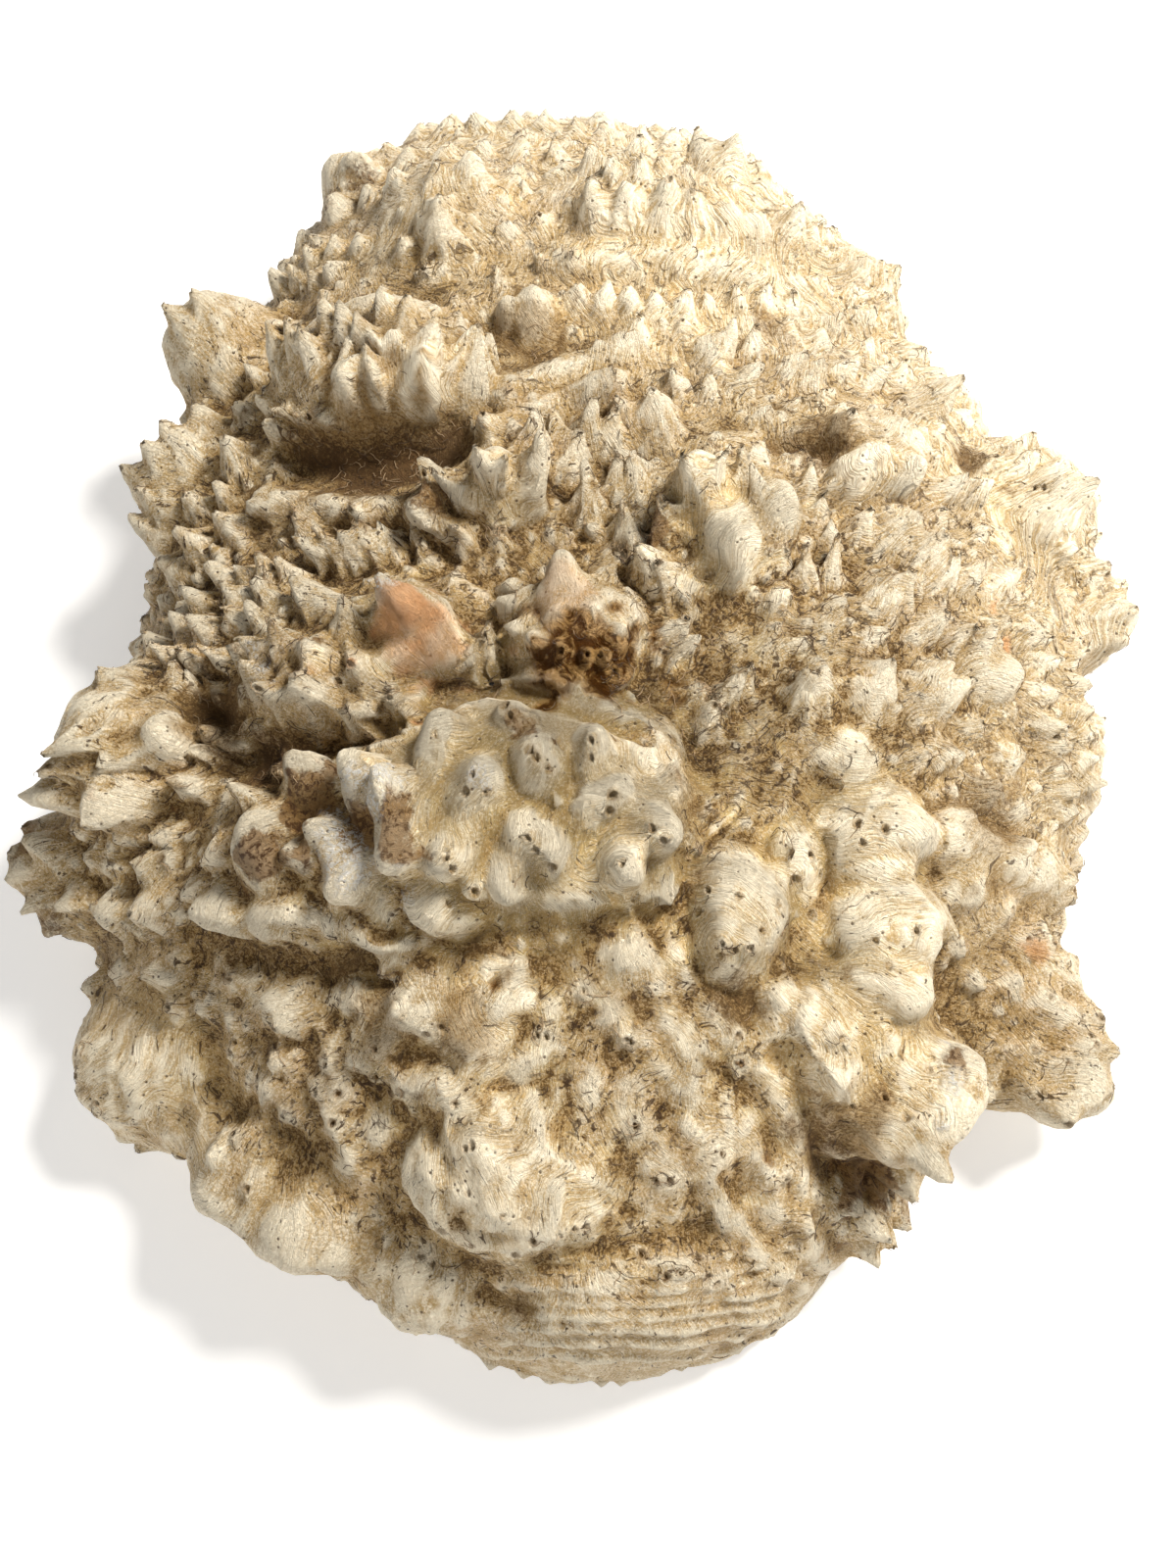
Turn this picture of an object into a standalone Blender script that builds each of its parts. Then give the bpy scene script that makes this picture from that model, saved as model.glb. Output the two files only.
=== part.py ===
"""Mallee burl cap: the outer cap of a eucalyptus burl, sawn flat underneath, with its bark off.

It is one piece of wood. A plain dome is raised into lobes, knobs and spikes by formulas, thinned to
few triangles and cut flat at the saw's plane. Metres, +Z up, the sawn face at z = 0.
"""

import math
import random

import bmesh
import bpy
import numpy as np
from mathutils import Vector
from mathutils.bvhtree import BVHTree

MM = 0.001

# Driving dimensions
DOME_HEIGHT = 84 * MM
DOME_ROUNDNESS = 2.25
# How far the rim of the dome stands from its middle, every 15 degrees from +X towards +Y
RIM_RADII = [r * MM for r in (
    140, 144, 139, 140, 163, 179, 187, 189, 164, 136, 132, 122,
    118, 138, 146, 156, 162, 173, 185, 182, 156, 147, 148, 140)]
RIM_SMOOTHING = 75.0
BOX_CENTRE = (3.8 * MM, 2.9 * MM)
TRIANGLES = 11200
SAW_SNAP = 0.3 * MM
CUT_TOLERANCE = 0.001 * MM

# The line of sight that the features are laid out along. Their places are given as they are seen
# from in front and above, in a picture 1200 steps wide and 1600 high, as (steps right, steps down).
SIGHT_ELEVATION = math.radians(70)
SIGHT_DISTANCE = 367 * MM
SIGHT_TARGET = np.array([4.0, -45.0, 46.0]) * MM
SIGHT_FOCAL = 1511.0
PICTURE_MIDDLE = (600, 800)
# How far a place outside the outline is drawn in at each step, as a share, and how often
DRAW_IN = 0.01
DRAW_IN_STEPS = 40

# Directions in the picture that tips lean towards
UP, DOWN, LEFT, RIGHT = (0, 1), (0, -1), (-1, 0), (1, 0)
UP_LEFT, UP_RIGHT, DOWN_LEFT, DOWN_RIGHT = (-1, 1), (1, 1), (-1, -1), (1, -1)

# Profiles of a raised form, as the two powers in (1 - q ** a) ** b
SWELL, MOUND, SHELF, KNOB, SPIKE = (2, 2), (3, 1.7), (4, 1.6), (2, 1.5), (1.4, 1.6)

LOBE_LEAN, KNOB_LEAN, SPIKE_LEAN = 0.15, 0.35, 1.0
# How far over and under the ground a form reaches, in its own radii
DEPTH_REACH = 1.3
# Forms that overlap join by this power of their heights: the higher, the sharper the crease between them
JOIN_POWER = 4

# Broad lobes: (place, radius mm, height mm, stretch along the lean, lean direction, profile)
LOBES = [
    ((545, 825), 33, 16, 1.3, RIGHT, SHELF),
    ((335, 868), 30, 9, 1.25, RIGHT, MOUND),
    ((750, 935), 13, 10, 1.35, UP, SHELF),
    ((885, 848), 15, 7, 1.1, RIGHT, MOUND),
    ((892, 952), 18, 10, 1.0, DOWN, SHELF),
    ((865, 1075), 25, 13, 1.15, RIGHT, SHELF),
    ((912, 1115), 21, 14, 1.15, RIGHT, SHELF),
    ((905, 900), 38, 3, 1.0, UP, SWELL),
    ((1060, 1060), 30, 14, 1.0, DOWN_RIGHT, SWELL),
    ((1115, 1080), 20, 10, 1.0, RIGHT, SWELL),
    ((1075, 1125), 20, 9, 1.0, DOWN_RIGHT, SWELL),
    ((1010, 1060), 26, 5, 1.0, RIGHT, SWELL),
    ((1065, 520), 26, 14, 1.0, UP_RIGHT, MOUND),
    ((1112, 630), 18, 17, 0.8, RIGHT, SWELL),
    ((1090, 770), 26, 8, 1.0, RIGHT, SWELL),
    ((420, 640), 20, 7, 1.0, UP, SWELL),
    ((590, 652), 17, 12, 1.15, RIGHT, MOUND),
    ((380, 385), 34, 14, 0.7, UP, SHELF),
    ((460, 215), 32, 10, 1.0, UP, SWELL),
    ((700, 215), 44, 11, 0.6, UP, SHELF),
    ((365, 195), 16, 12, 1.0, UP_LEFT, SWELL),
    ((236, 366), 20, 22, 1.0, UP_LEFT, SHELF),
    ((880, 300), 24, 9, 1.0, UP_RIGHT, SWELL),
    ((135, 765), 27, 16, 1.0, LEFT, MOUND),
    ((75, 890), 24, 17, 1.0, LEFT, SWELL),
    ((140, 1100), 28, 15, 1.0, LEFT, MOUND),
    ((250, 1190), 24, 12, 1.0, DOWN_LEFT, SWELL),
    ((320, 1245), 20, 12, 1.0, DOWN, SWELL),
    ((430, 1310), 20, 10, 1.0, DOWN, SWELL),
    ((640, 1340), 44, 6, 0.6, DOWN, SWELL),
    ((880, 1230), 22, 7, 1.0, DOWN_RIGHT, SWELL),
    ((505, 500), 26, 9, 0.8, UP, SWELL),
    ((740, 520), 28, 10, 1.0, UP, SWELL),
    ((900, 470), 28, 9, 0.8, UP, SWELL),
    ((330, 690), 30, 9, 0.8, UP_LEFT, SWELL),
    ((190, 500), 26, 9, 1.0, UP_LEFT, SWELL),
    ((840, 690), 30, 6, 1.0, UP, SWELL),
    ((515, 1215), 25, 8, 0.8, DOWN, MOUND),
    ((440, 1025), 21, 6, 1.2, RIGHT, MOUND),
    ((490, 1118), 18, 4.5, 1.1, RIGHT, MOUND),
    ((950, 610), 30, 5, 1.0, UP_RIGHT, SWELL),
]

# Folds and furrows along a line: (places, half width mm, height mm)
FOLDS = [
    ([(480, 410), (560, 382), (650, 350)], 7, 3.5),
    ([(490, 440), (560, 420), (625, 392)], 6, 3.5),
    ([(575, 262), (700, 268), (810, 290)], 7, 3),
    ([(270, 512), (340, 520), (430, 520)], 6, 3),
    ([(600, 1100), (590, 1150), (600, 1200)], 5.5, 1.5),
    ([(630, 1040), (665, 1085), (690, 1110)], 4.5, 1),
    ([(660, 1010), (700, 1060), (722, 1105)], 4.5, 1),
    ([(725, 1020), (745, 1060), (760, 1095)], 4.5, 1),
    ([(770, 1010), (800, 1060), (845, 1110)], 5.5, 1.5),
    ([(760, 1150), (785, 1220), (845, 1292)], 5.5, 1.5),
    ([(800, 1150), (825, 1220), (890, 1272)], 5.5, 1.5),
    ([(720, 1210), (760, 1270), (830, 1318)], 4.5, 1),
    ([(340, 1130), (365, 1200), (385, 1270)], 6.5, 1.5),
    ([(560, 960), (520, 985), (460, 975)], 6.5, 1.5),
    ([(310, 930), (370, 950), (430, 960)], 6, 3),
    ([(645, 900), (650, 960), (670, 1000)], 5, 2),
    ([(690, 890), (690, 940), (700, 1000)], 4, 1.5),
    ([(1090, 1110), (1110, 1060), (1115, 1000)], 6.5, 1.5),
    ([(310, 462), (380, 470), (455, 458)], 13, -6),
    ([(560, 282), (660, 292), (770, 305), (850, 345)], 8, -2),
    ([(500, 345), (540, 358), (590, 345)], 12, -2.5),
    ([(480, 470), (570, 505), (615, 478), (700, 460), (860, 455)], 7, -2.5),
    ([(205, 700), (215, 750), (280, 780), (335, 765)], 12, -5.5),
    ([(715, 760), (712, 850), (700, 900)], 8, -2.5),
    ([(805, 1085), (840, 1145), (900, 1198)], 7, -4),
    ([(945, 822), (1000, 835), (1055, 858)], 4, -2),
    ([(845, 905), (895, 898), (955, 893)], 4, -2),
    ([(838, 860), (838, 910), (848, 975)], 4, -2),
    ([(385, 1000), (400, 1060), (450, 1090), (540, 1110)], 7, -2.5),
    ([(650, 548), (668, 540)], 5, -4),
    ([(960, 470), (1000, 475)], 8, -2.5),
    ([(200, 1000), (210, 1080), (240, 1140)], 9, -2.5),
    ([(740, 1100), (800, 1140), (850, 1190)], 8, -2),
    ([(560, 1290), (660, 1275), (700, 1262)], 7, -2),
    ([(500, 1330), (540, 1335)], 6, -2),
    ([(800, 455), (850, 458), (900, 448)], 6, -2),
    ([(1000, 1100), (960, 1040), (975, 960)], 8, -2.5),
    ([(230, 570), (180, 620), (165, 690)], 8, -2),
    ([(928, 846), (1010, 866), (1080, 902)], 9, 4),
    ([(195, 960), (300, 990), (430, 990), (540, 955), (620, 945), (700, 935)], 9, -2.5),
    ([(300, 752), (400, 735), (500, 700), (600, 722), (650, 745)], 6, -4),
    ([(350, 1020), (420, 1035), (500, 1030), (560, 1020)], 5.5, 1.5),
    ([(540, 1130), (560, 1180), (620, 1230)], 5.5, 1.5),
    ([(430, 1180), (470, 1215), (520, 1240)], 5.5, 1.5),
    ([(670, 1050), (690, 1110), (720, 1180), (740, 1230)], 5.5, 1.5),
    ([(560, 1070), (500, 1095), (440, 1100)], 4.5, 1),
]

# Round knobs: (place, radius mm, height mm, lean direction)
KNOBS = [
    ((430, 385), 10, 10, UP), ((360, 402), 7, 8, UP), ((388, 398), 6, 7, UP), ((405, 362), 6, 6, UP),
    ((545, 320), 8, 7, UP), ((520, 322), 5, 5, UP), ((345, 220), 7, 5, UP_LEFT),
    ((370, 175), 7, 5, UP_LEFT), ((505, 500), 9, 10, UP), ((535, 505), 7, 9, UP),
    ((440, 528), 7, 8, UP_LEFT), ((715, 500), 10, 9, UP), ((745, 555), 11, 9, UP), ((790, 520), 9, 6, UP),
    ((725, 368), 7, 5, UP), ((935, 418), 10, 8, UP_RIGHT), ((880, 478), 9, 8, UP_RIGHT),
    ((918, 488), 7, 7, UP_RIGHT), ((1080, 515), 12, 6, UP_RIGHT), ((940, 952), 8, 3.5, DOWN_RIGHT),
    ((978, 1082), 8, 3, RIGHT), ((855, 1100), 8, 2.5, DOWN_LEFT), ((1075, 1120), 11, 5.5, DOWN),
    ((1125, 1060), 13, 3, RIGHT), ((1065, 992), 9, 3, UP_RIGHT), ((120, 815), 10, 8, LEFT),
    ((165, 755), 9, 8, LEFT), ((110, 735), 12, 7, LEFT), ((150, 1095), 16, 4, LEFT),
    ((230, 1215), 13, 4, DOWN_LEFT), ((300, 1265), 11, 4, DOWN), ((345, 1268), 10, 3.5, DOWN),
    ((415, 1028), 10, 3.5, DOWN_LEFT), ((510, 1018), 11, 3, DOWN), ((486, 1058), 8, 3, DOWN),
    ((940, 716), 9, 5, RIGHT), ((1010, 690), 10, 7, RIGHT), ((862, 772), 9, 5, RIGHT),
    ((615, 128), 7, 4, UP), ((735, 165), 10, 4, UP), ((300, 1025), 10, 5, LEFT), ((640, 972), 8, 4, DOWN),
    ((1070, 1030), 9, 3, RIGHT), ((985, 905), 8, 3, RIGHT), ((453, 762), 8, 8, UP),
    ((527, 731), 6, 3, UP_LEFT), ((552, 776), 8, 5.5, UP), ((605, 768), 7, 6, UP), ((488, 812), 9, 8, UP),
    ((548, 858), 8, 8, DOWN_RIGHT), ((460, 868), 8.5, 8, DOWN_LEFT), ((487, 892), 5.5, 6, DOWN),
    ((520, 890), 7.5, 8, DOWN), ((564, 876), 4.5, 4.5, DOWN), ((620, 816), 8, 6, UP_RIGHT),
    ((664, 842), 8, 7, DOWN_RIGHT), ((636, 876), 7, 7, DOWN), ((450, 925), 10, 7.5, UP_LEFT),
    ((374, 800), 7, 9, UP), ((399, 812), 7, 8, UP), ((408, 860), 8, 9, DOWN), ((345, 860), 7, 9, UP_LEFT),
    ((364, 890), 9, 9, DOWN_LEFT), ((325, 805), 9, 10, UP_LEFT), ((318, 872), 7, 7.5, LEFT),
    ((272, 868), 11, 10, UP), ((238, 925), 9, 9, LEFT), ((280, 935), 9, 5, LEFT),
    ((395, 925), 11, 5.5, DOWN), ((575, 598), 8, 7, UP), ((526, 602), 4, 4, LEFT),
    ((524, 620), 4, 4, LEFT), ((528, 641), 3.5, 3.5, LEFT), ((567, 626), 4.5, 2, UP),
    ((605, 634), 6, 2, UP), ((628, 648), 5, 2, UP), ((575, 664), 3.5, 3, UP), ((600, 670), 3, 3, UP),
    ((615, 671), 3, 3, UP), ((631, 688), 4, 3, RIGHT), ((550, 655), 4, 3, UP_LEFT),
    ((813, 884), 9, 7, UP), ((792, 1018), 7, 5, DOWN), ((822, 1034), 6, 4, DOWN),
    ((425, 642), 13, 11, UP_LEFT), ((872, 1165), 8.5, 2.5, DOWN), ((905, 1175), 9, 2.5, DOWN),
    ((940, 1168), 9, 2.5, DOWN), ((968, 1145), 9, 2.5, DOWN), ((858, 1062), 6, 3, UP_LEFT),
    ((905, 1075), 6, 1.5, DOWN_RIGHT), ((430, 1200), 9, 3.5, DOWN), ((560, 1200), 8, 2.5, DOWN),
    ((1098, 1065), 7, 3, RIGHT), ((1140, 1050), 8, 3, RIGHT), ((1100, 1105), 7, 3, DOWN_RIGHT),
    ((1122, 1005), 8, 3, RIGHT), ((1136, 1042), 8, 3, RIGHT),
]

# Rows of spikes: (places, count, radius mm, height mm, direction that the tips lean towards)
SPIKE_ROWS = [
    ([(395, 150), (500, 128), (560, 134), (690, 152), (785, 158)], 13, 5, 4.5, UP),
    ([(415, 168), (540, 155), (605, 168)], 6, 4.5, 4.5, UP),
    ([(610, 212), (695, 218), (765, 238), (802, 236)], 7, 6, 5.5, UP), ([(455, 238)], 1, 8, 7, UP),
    ([(405, 190), (480, 182), (525, 185)], 4, 5, 4.5, UP), ([(555, 272), (582, 270)], 2, 4, 3.5, UP),
    ([(628, 180), (668, 182), (700, 185)], 4, 4, 4.5, UP), ([(812, 238), (840, 244)], 3, 3.5, 3.5, UP),
    ([(876, 278), (905, 276), (905, 318)], 5, 4, 3.5, UP_RIGHT),
    ([(835, 290), (868, 300)], 2, 4, 2.5, UP_RIGHT),
    ([(328, 252), (318, 268), (308, 284)], 3, 4, 4.5, UP_LEFT), ([(345, 256), (368, 256)], 2, 4, 3.5, UP),
    ([(345, 278), (325, 288)], 2, 4, 3.5, UP_LEFT), ([(292, 300)], 1, 5, 6, UP_LEFT),
    ([(290, 366), (320, 364)], 3, 5, 7, UP), ([(340, 342), (380, 358)], 3, 5, 7, UP),
    ([(395, 325), (440, 346)], 3, 4.5, 6, UP), ([(352, 372), (372, 380)], 2, 5, 6, UP),
    ([(474, 384)], 1, 7, 10, UP), ([(494, 368)], 1, 3.5, 6, UP),
    ([(300, 422), (345, 428)], 5, 3, 5, UP_LEFT), ([(262, 388), (285, 440)], 3, 3.5, 5, UP_LEFT),
    ([(190, 330), (215, 322)], 2, 6, 6, UP_LEFT),
    ([(590, 308), (690, 322), (745, 312), (805, 316)], 9, 4, 4.5, UP),
    ([(650, 335), (700, 342)], 3, 3.5, 3.5, UP), ([(608, 396)], 1, 5, 6, UP_RIGHT),
    ([(640, 428)], 1, 4.5, 6, UP_LEFT), ([(598, 446), (622, 450)], 2, 5, 7, UP),
    ([(668, 434)], 1, 6.5, 7, UP), ([(545, 462), (568, 456)], 2, 5, 7, UP),
    ([(500, 438), (525, 446)], 2, 4, 3.5, UP), ([(755, 396)], 1, 4.5, 6, UP_RIGHT),
    ([(740, 352), (765, 362)], 2, 3.5, 6, UP), ([(690, 400), (720, 405)], 2, 5, 4.5, UP),
    ([(805, 380), (826, 384)], 2, 4, 5, UP_RIGHT),
    ([(858, 386), (884, 398), (908, 398)], 3, 5, 7, UP_RIGHT),
    ([(806, 418), (832, 418)], 3, 3, 4.5, UP_RIGHT), ([(862, 440)], 1, 5, 5, UP_RIGHT),
    ([(845, 335), (880, 330)], 2, 4, 4.5, UP_RIGHT), ([(935, 350), (955, 378)], 3, 5, 5, UP_RIGHT),
    ([(965, 400), (990, 430)], 3, 5, 4.5, UP_RIGHT), ([(958, 500), (990, 504)], 3, 4.5, 6, UP_RIGHT),
    ([(1010, 480), (1060, 478), (1105, 500)], 4, 5, 4, UP_RIGHT),
    ([(452, 498), (472, 505)], 2, 5, 7, UP_LEFT), ([(500, 482), (512, 486)], 2, 3.5, 7, UP),
    ([(548, 482)], 1, 6.5, 8, UP), ([(584, 476)], 1, 6.5, 8, UP), ([(602, 522)], 1, 5.5, 8, UP),
    ([(628, 508), (646, 504)], 2, 5.5, 8, UP), ([(658, 488)], 1, 5.5, 7, UP_LEFT),
    ([(704, 486), (724, 484)], 2, 4, 7, UP), ([(756, 490), (775, 500)], 2, 3.5, 6, UP),
    ([(684, 540)], 1, 6.5, 8.5, UP), ([(636, 552)], 1, 6, 7, UP_LEFT),
    ([(672, 588), (694, 602)], 2, 7, 7, UP_LEFT), ([(820, 505), (845, 555)], 3, 4, 5.5, UP),
    ([(876, 546)], 1, 5, 7, UP_RIGHT), ([(915, 548), (945, 572)], 2, 7.5, 7, UP_RIGHT),
    ([(960, 592), (982, 594)], 2, 5, 7, UP_RIGHT), ([(1010, 602)], 1, 7.5, 7, UP_RIGHT),
    ([(905, 612)], 1, 7, 7, UP_RIGHT), ([(822, 592), (842, 588)], 2, 4, 7, UP),
    ([(945, 640), (1000, 660)], 3, 5, 5.5, UP_RIGHT), ([(1115, 588), (1135, 602)], 2, 5, 4, UP_RIGHT),
    ([(1136, 630), (1132, 655)], 2, 6, 4, RIGHT), ([(1050, 650), (1060, 740)], 4, 5, 5.5, RIGHT),
    ([(1095, 700), (1110, 800)], 5, 4, 4, RIGHT), ([(1075, 760), (1085, 830)], 4, 4, 3.5, RIGHT),
    ([(216, 442), (194, 456), (170, 476), (148, 494)], 4, 7.5, 7, UP_LEFT),
    ([(246, 474)], 1, 7, 7, UP_LEFT), ([(165, 520), (160, 545)], 2, 6, 5.5, UP_LEFT),
    ([(212, 566), (190, 588)], 2, 7.5, 7, UP_LEFT), ([(232, 576), (240, 545)], 2, 6, 6, UP_LEFT),
    ([(336, 572), (404, 562)], 5, 5.5, 7, UP_LEFT), ([(242, 600), (306, 600)], 4, 5.5, 7, UP_LEFT),
    ([(216, 626), (276, 622), (325, 622)], 4, 6, 7, UP_LEFT),
    ([(196, 652), (242, 642), (278, 646)], 4, 5.5, 7, UP_LEFT),
    ([(166, 668), (206, 682), (232, 674)], 4, 4.5, 7, UP_LEFT),
    ([(180, 700), (225, 712)], 3, 4, 6, UP_LEFT), ([(262, 672), (300, 668)], 3, 5.5, 7, UP_LEFT),
    ([(328, 680), (326, 712)], 2, 7.5, 7, UP_LEFT), ([(296, 718), (272, 702)], 2, 6, 7, UP_LEFT),
    ([(384, 692)], 1, 9, 7, UP_LEFT), ([(372, 728), (412, 724)], 2, 7.5, 8, UP_LEFT),
    ([(356, 642)], 1, 5, 7, UP), ([(465, 548), (440, 560)], 2, 5, 6, UP_LEFT),
    ([(85, 752), (78, 782), (70, 810)], 3, 6, 8, LEFT), ([(130, 772)], 1, 5, 5.5, LEFT),
    ([(216, 756), (232, 776), (206, 800)], 3, 5, 7, LEFT), ([(252, 756)], 1, 5, 6, LEFT),
    ([(262, 820)], 1, 4.5, 7, LEFT), ([(175, 852), (100, 835)], 2, 5, 4, LEFT),
    ([(34, 850), (30, 872), (32, 895)], 3, 6, 4, LEFT), ([(46, 915), (58, 938)], 2, 5, 4.5, DOWN_LEFT),
    ([(62, 868), (118, 878)], 2, 7, 7, LEFT), ([(92, 916)], 1, 5.5, 6, LEFT),
    ([(132, 932), (168, 924)], 2, 8, 7, LEFT), ([(165, 888)], 1, 7, 5.5, LEFT),
    ([(92, 1070), (90, 1098), (95, 1120), (115, 1135)], 4, 6, 3, LEFT),
    ([(160, 998), (186, 1030)], 2, 5, 3, LEFT), ([(212, 1020)], 1, 6, 3, DOWN_LEFT),
    ([(250, 1000), (245, 1078)], 2, 5, 3, LEFT), ([(292, 1044)], 1, 5, 3, LEFT),
    ([(296, 1084), (284, 1108)], 2, 6.5, 3.5, LEFT), ([(305, 1135), (255, 1160)], 2, 6, 3, LEFT),
    ([(418, 1108)], 1, 9, 2.5, DOWN_LEFT), ([(355, 1110), (385, 1150)], 2, 6.5, 1.5, DOWN_LEFT),
    ([(430, 1044)], 1, 7.5, 2, DOWN), ([(472, 1120)], 1, 10, 2.5, DOWN_LEFT),
    ([(488, 1162)], 1, 10, 2.5, DOWN), ([(530, 1090), (560, 1050)], 2, 7.5, 1.5, DOWN),
    ([(522, 968)], 1, 10, 2, DOWN), ([(732, 1165)], 1, 12, 2.5, DOWN),
    ([(642, 1142)], 1, 10, 2, DOWN_RIGHT), ([(682, 1190)], 1, 9, 2, DOWN),
    ([(480, 1205), (508, 1225), (545, 1248)], 3, 9.5, 2.5, DOWN),
    ([(568, 1245), (592, 1240)], 2, 7.5, 2, DOWN), ([(440, 1275), (420, 1300)], 2, 10, 1.5, DOWN_LEFT),
    ([(690, 1290), (730, 1298)], 2, 6.5, 1.5, DOWN), ([(225, 1170), (262, 1205)], 2, 5, 3, DOWN_LEFT),
    ([(740, 955), (765, 960)], 2, 4, 2, DOWN), ([(860, 1215), (892, 1216)], 2, 5.5, 6, DOWN),
    ([(950, 1228)], 1, 7, 6.5, DOWN_RIGHT), ([(880, 1242), (918, 1242)], 2, 6, 6, DOWN_RIGHT),
    ([(880, 1268), (930, 1264)], 3, 4.5, 5, DOWN_RIGHT), ([(1100, 900), (1108, 970)], 4, 5, 2.5, RIGHT),
    ([(1020, 930), (1040, 960)], 2, 6, 2, RIGHT), ([(895, 702)], 1, 7.5, 7, UP),
    ([(820, 710), (838, 706)], 2, 6, 6, UP), ([(708, 716), (722, 736)], 2, 6, 4, UP_RIGHT),
    ([(756, 702), (740, 715)], 2, 5, 7, UP_RIGHT), ([(676, 652), (696, 668)], 2, 5, 5.5, UP_RIGHT),
    ([(950, 690), (965, 705)], 2, 5, 6, UP_RIGHT), ([(960, 770), (1000, 800)], 2, 5, 3.5, RIGHT),
    ([(748, 1050), (758, 1080)], 2, 5, 1, DOWN), ([(780, 1345), (800, 1300)], 2, 6.5, 1.5, DOWN_RIGHT),
    ([(480, 676), (499, 668)], 2, 5, 7, UP), ([(408, 610)], 1, 5, 6, UP_LEFT),
    ([(975, 1215), (960, 1240)], 2, 5, 5, DOWN_RIGHT),
    ([(1092, 1045), (1118, 1085), (1108, 1122)], 4, 5.5, 2.5, RIGHT),
    ([(1045, 1070), (1078, 1088)], 2, 5, 2.5, RIGHT), ([(1030, 1000), (1060, 1020)], 2, 5, 2, RIGHT),
    ([(340, 1075), (330, 1100), (345, 1135)], 3, 7, 2, DOWN_LEFT),
    ([(390, 1060), (372, 1080)], 2, 6.5, 2, DOWN_LEFT),
    ([(600, 1000), (622, 1020), (640, 1050)], 3, 6.5, 2, DOWN),
    ([(455, 1240), (480, 1255), (520, 1268)], 3, 7.5, 2, DOWN),
    ([(1090, 1000), (1112, 1040), (1105, 1085)], 3, 5, 3, RIGHT),
    ([(1060, 960), (1085, 985)], 2, 5, 3, RIGHT), ([(1128, 1072), (1122, 1108)], 2, 5, 3, RIGHT),
    ([(1050, 1110), (1080, 1132)], 2, 5.5, 3, DOWN_RIGHT),
]

# Places that stay smooth, with no scattered spikes: (place, radius mm)
CALM_PLACES = [
    ((560, 360), 17), ((620, 350), 12), ((400, 465), 20), ((540, 820), 30), ((740, 940), 14),
    ((812, 880), 14), ((890, 900), 24), ((890, 1090), 28), ((600, 655), 20), ((425, 635), 16),
    ((700, 280), 16), ((150, 1095), 20), ((660, 1370), 30), ((230, 345), 16), ((1060, 620), 14),
    ((1050, 520), 14), ((300, 1180), 16), ((430, 385), 12), ((650, 770), 12), ((130, 730), 14),
    ((700, 1345), 24), ((420, 1180), 14), ((330, 1260), 14), ((230, 1215), 12), ((640, 720), 14),
    ((745, 665), 15), ((790, 760), 18), ((705, 790), 15), ((640, 770), 12), ((580, 1100), 12),
    ((660, 1180), 12), ((1010, 880), 12),
]
SCATTER_SEED = 11
SCATTER_COUNT = 1600
SCATTER_SPACING = 9.5 * MM
SCATTER_RADIUS = (3.8 * MM, 6.2 * MM)
SCATTER_SLOPE = (0.5, 0.85)
SCATTER_TURN = 0.6
LOWEST_SPIKE = 3 * MM
# The least height of the draw on the unit sphere
LOWEST_RISE = 0.02
# Scattered spikes lean away from a line over the burl, this far behind its middle
LEAN_LINE = 40 * MM
ROW_WIDTH = 1.2
# How far a spike of a row strays from its place, in steps of the picture, and from its direction and size
ROW_STRAY = 2
ROW_TURN = 0.35
ROW_SIZES = (0.85, 1.15)
# A knob or spike is longer along its lean than across it
KNOB_OVAL = (1.2, 0.9)
SPIKE_OVAL = (1.15, 0.92)
# The front is smoother: this wedge round -Y, and up to this height, holds fewer scattered spikes
SMOOTH_FRONT_BEARING = math.radians(265)
SMOOTH_FRONT_HALF = math.radians(50)
SMOOTH_FRONT_SHARE = 0.75
# Rounds of smoothing for the few places where thinned faces cross
UNTANGLE_ROUNDS = 30
# Subdivisions of the sphere that the burl is made from, and of the grounds its features are set on
SPHERE_DETAIL = 8
GROUND_DETAIL = 7
# What lies under this height on the unit sphere is never seen
LOWEST_DIRECTION = -0.25
SHARP_ANGLE = math.radians(50)

WOOD_COLOUR = (0.62, 0.49, 0.33, 1)
WOOD_ROUGHNESS = 0.72


def unit(vector):
    return vector / np.linalg.norm(vector)


def sight_frame():
    """The eye, and the picture's right, up and forward directions."""
    right = np.array([1.0, 0.0, 0.0])
    forward = np.array([0.0, math.cos(SIGHT_ELEVATION), -math.sin(SIGHT_ELEVATION)])
    up = np.array([0.0, math.sin(SIGHT_ELEVATION), math.cos(SIGHT_ELEVATION)])
    return SIGHT_TARGET - forward * SIGHT_DISTANCE, right, up, forward


def rim_radius(bearings):
    """The rim's distance at each bearing, as a smooth mean of the listed radii."""
    listed = np.radians(np.arange(0, 360, 360 / len(RIM_RADII)))
    weights = np.exp(RIM_SMOOTHING * (np.cos(bearings[:, None] - listed) - 1))
    return weights @ np.array(RIM_RADII) / weights.sum(axis=1)


def dome_points(directions):
    """The plain dome, met along directions from the middle of its sawn face."""
    level = np.hypot(directions[:, 0], directions[:, 1])
    rim = rim_radius(np.arctan2(directions[:, 1], directions[:, 0]))
    power = DOME_ROUNDNESS
    reach = ((level / rim) ** power + (np.abs(directions[:, 2]) / DOME_HEIGHT) ** power) ** (-1 / power)
    return directions * reach[:, None]


def sphere_mesh(subdivisions):
    mesh = bmesh.new()
    bmesh.ops.create_icosphere(mesh, subdivisions=subdivisions, radius=1)
    return mesh


def points_of(mesh):
    return np.array([vert.co for vert in mesh.verts])


def move_to(mesh, points):
    for vert, point in zip(mesh.verts, points):
        vert.co = point


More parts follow.
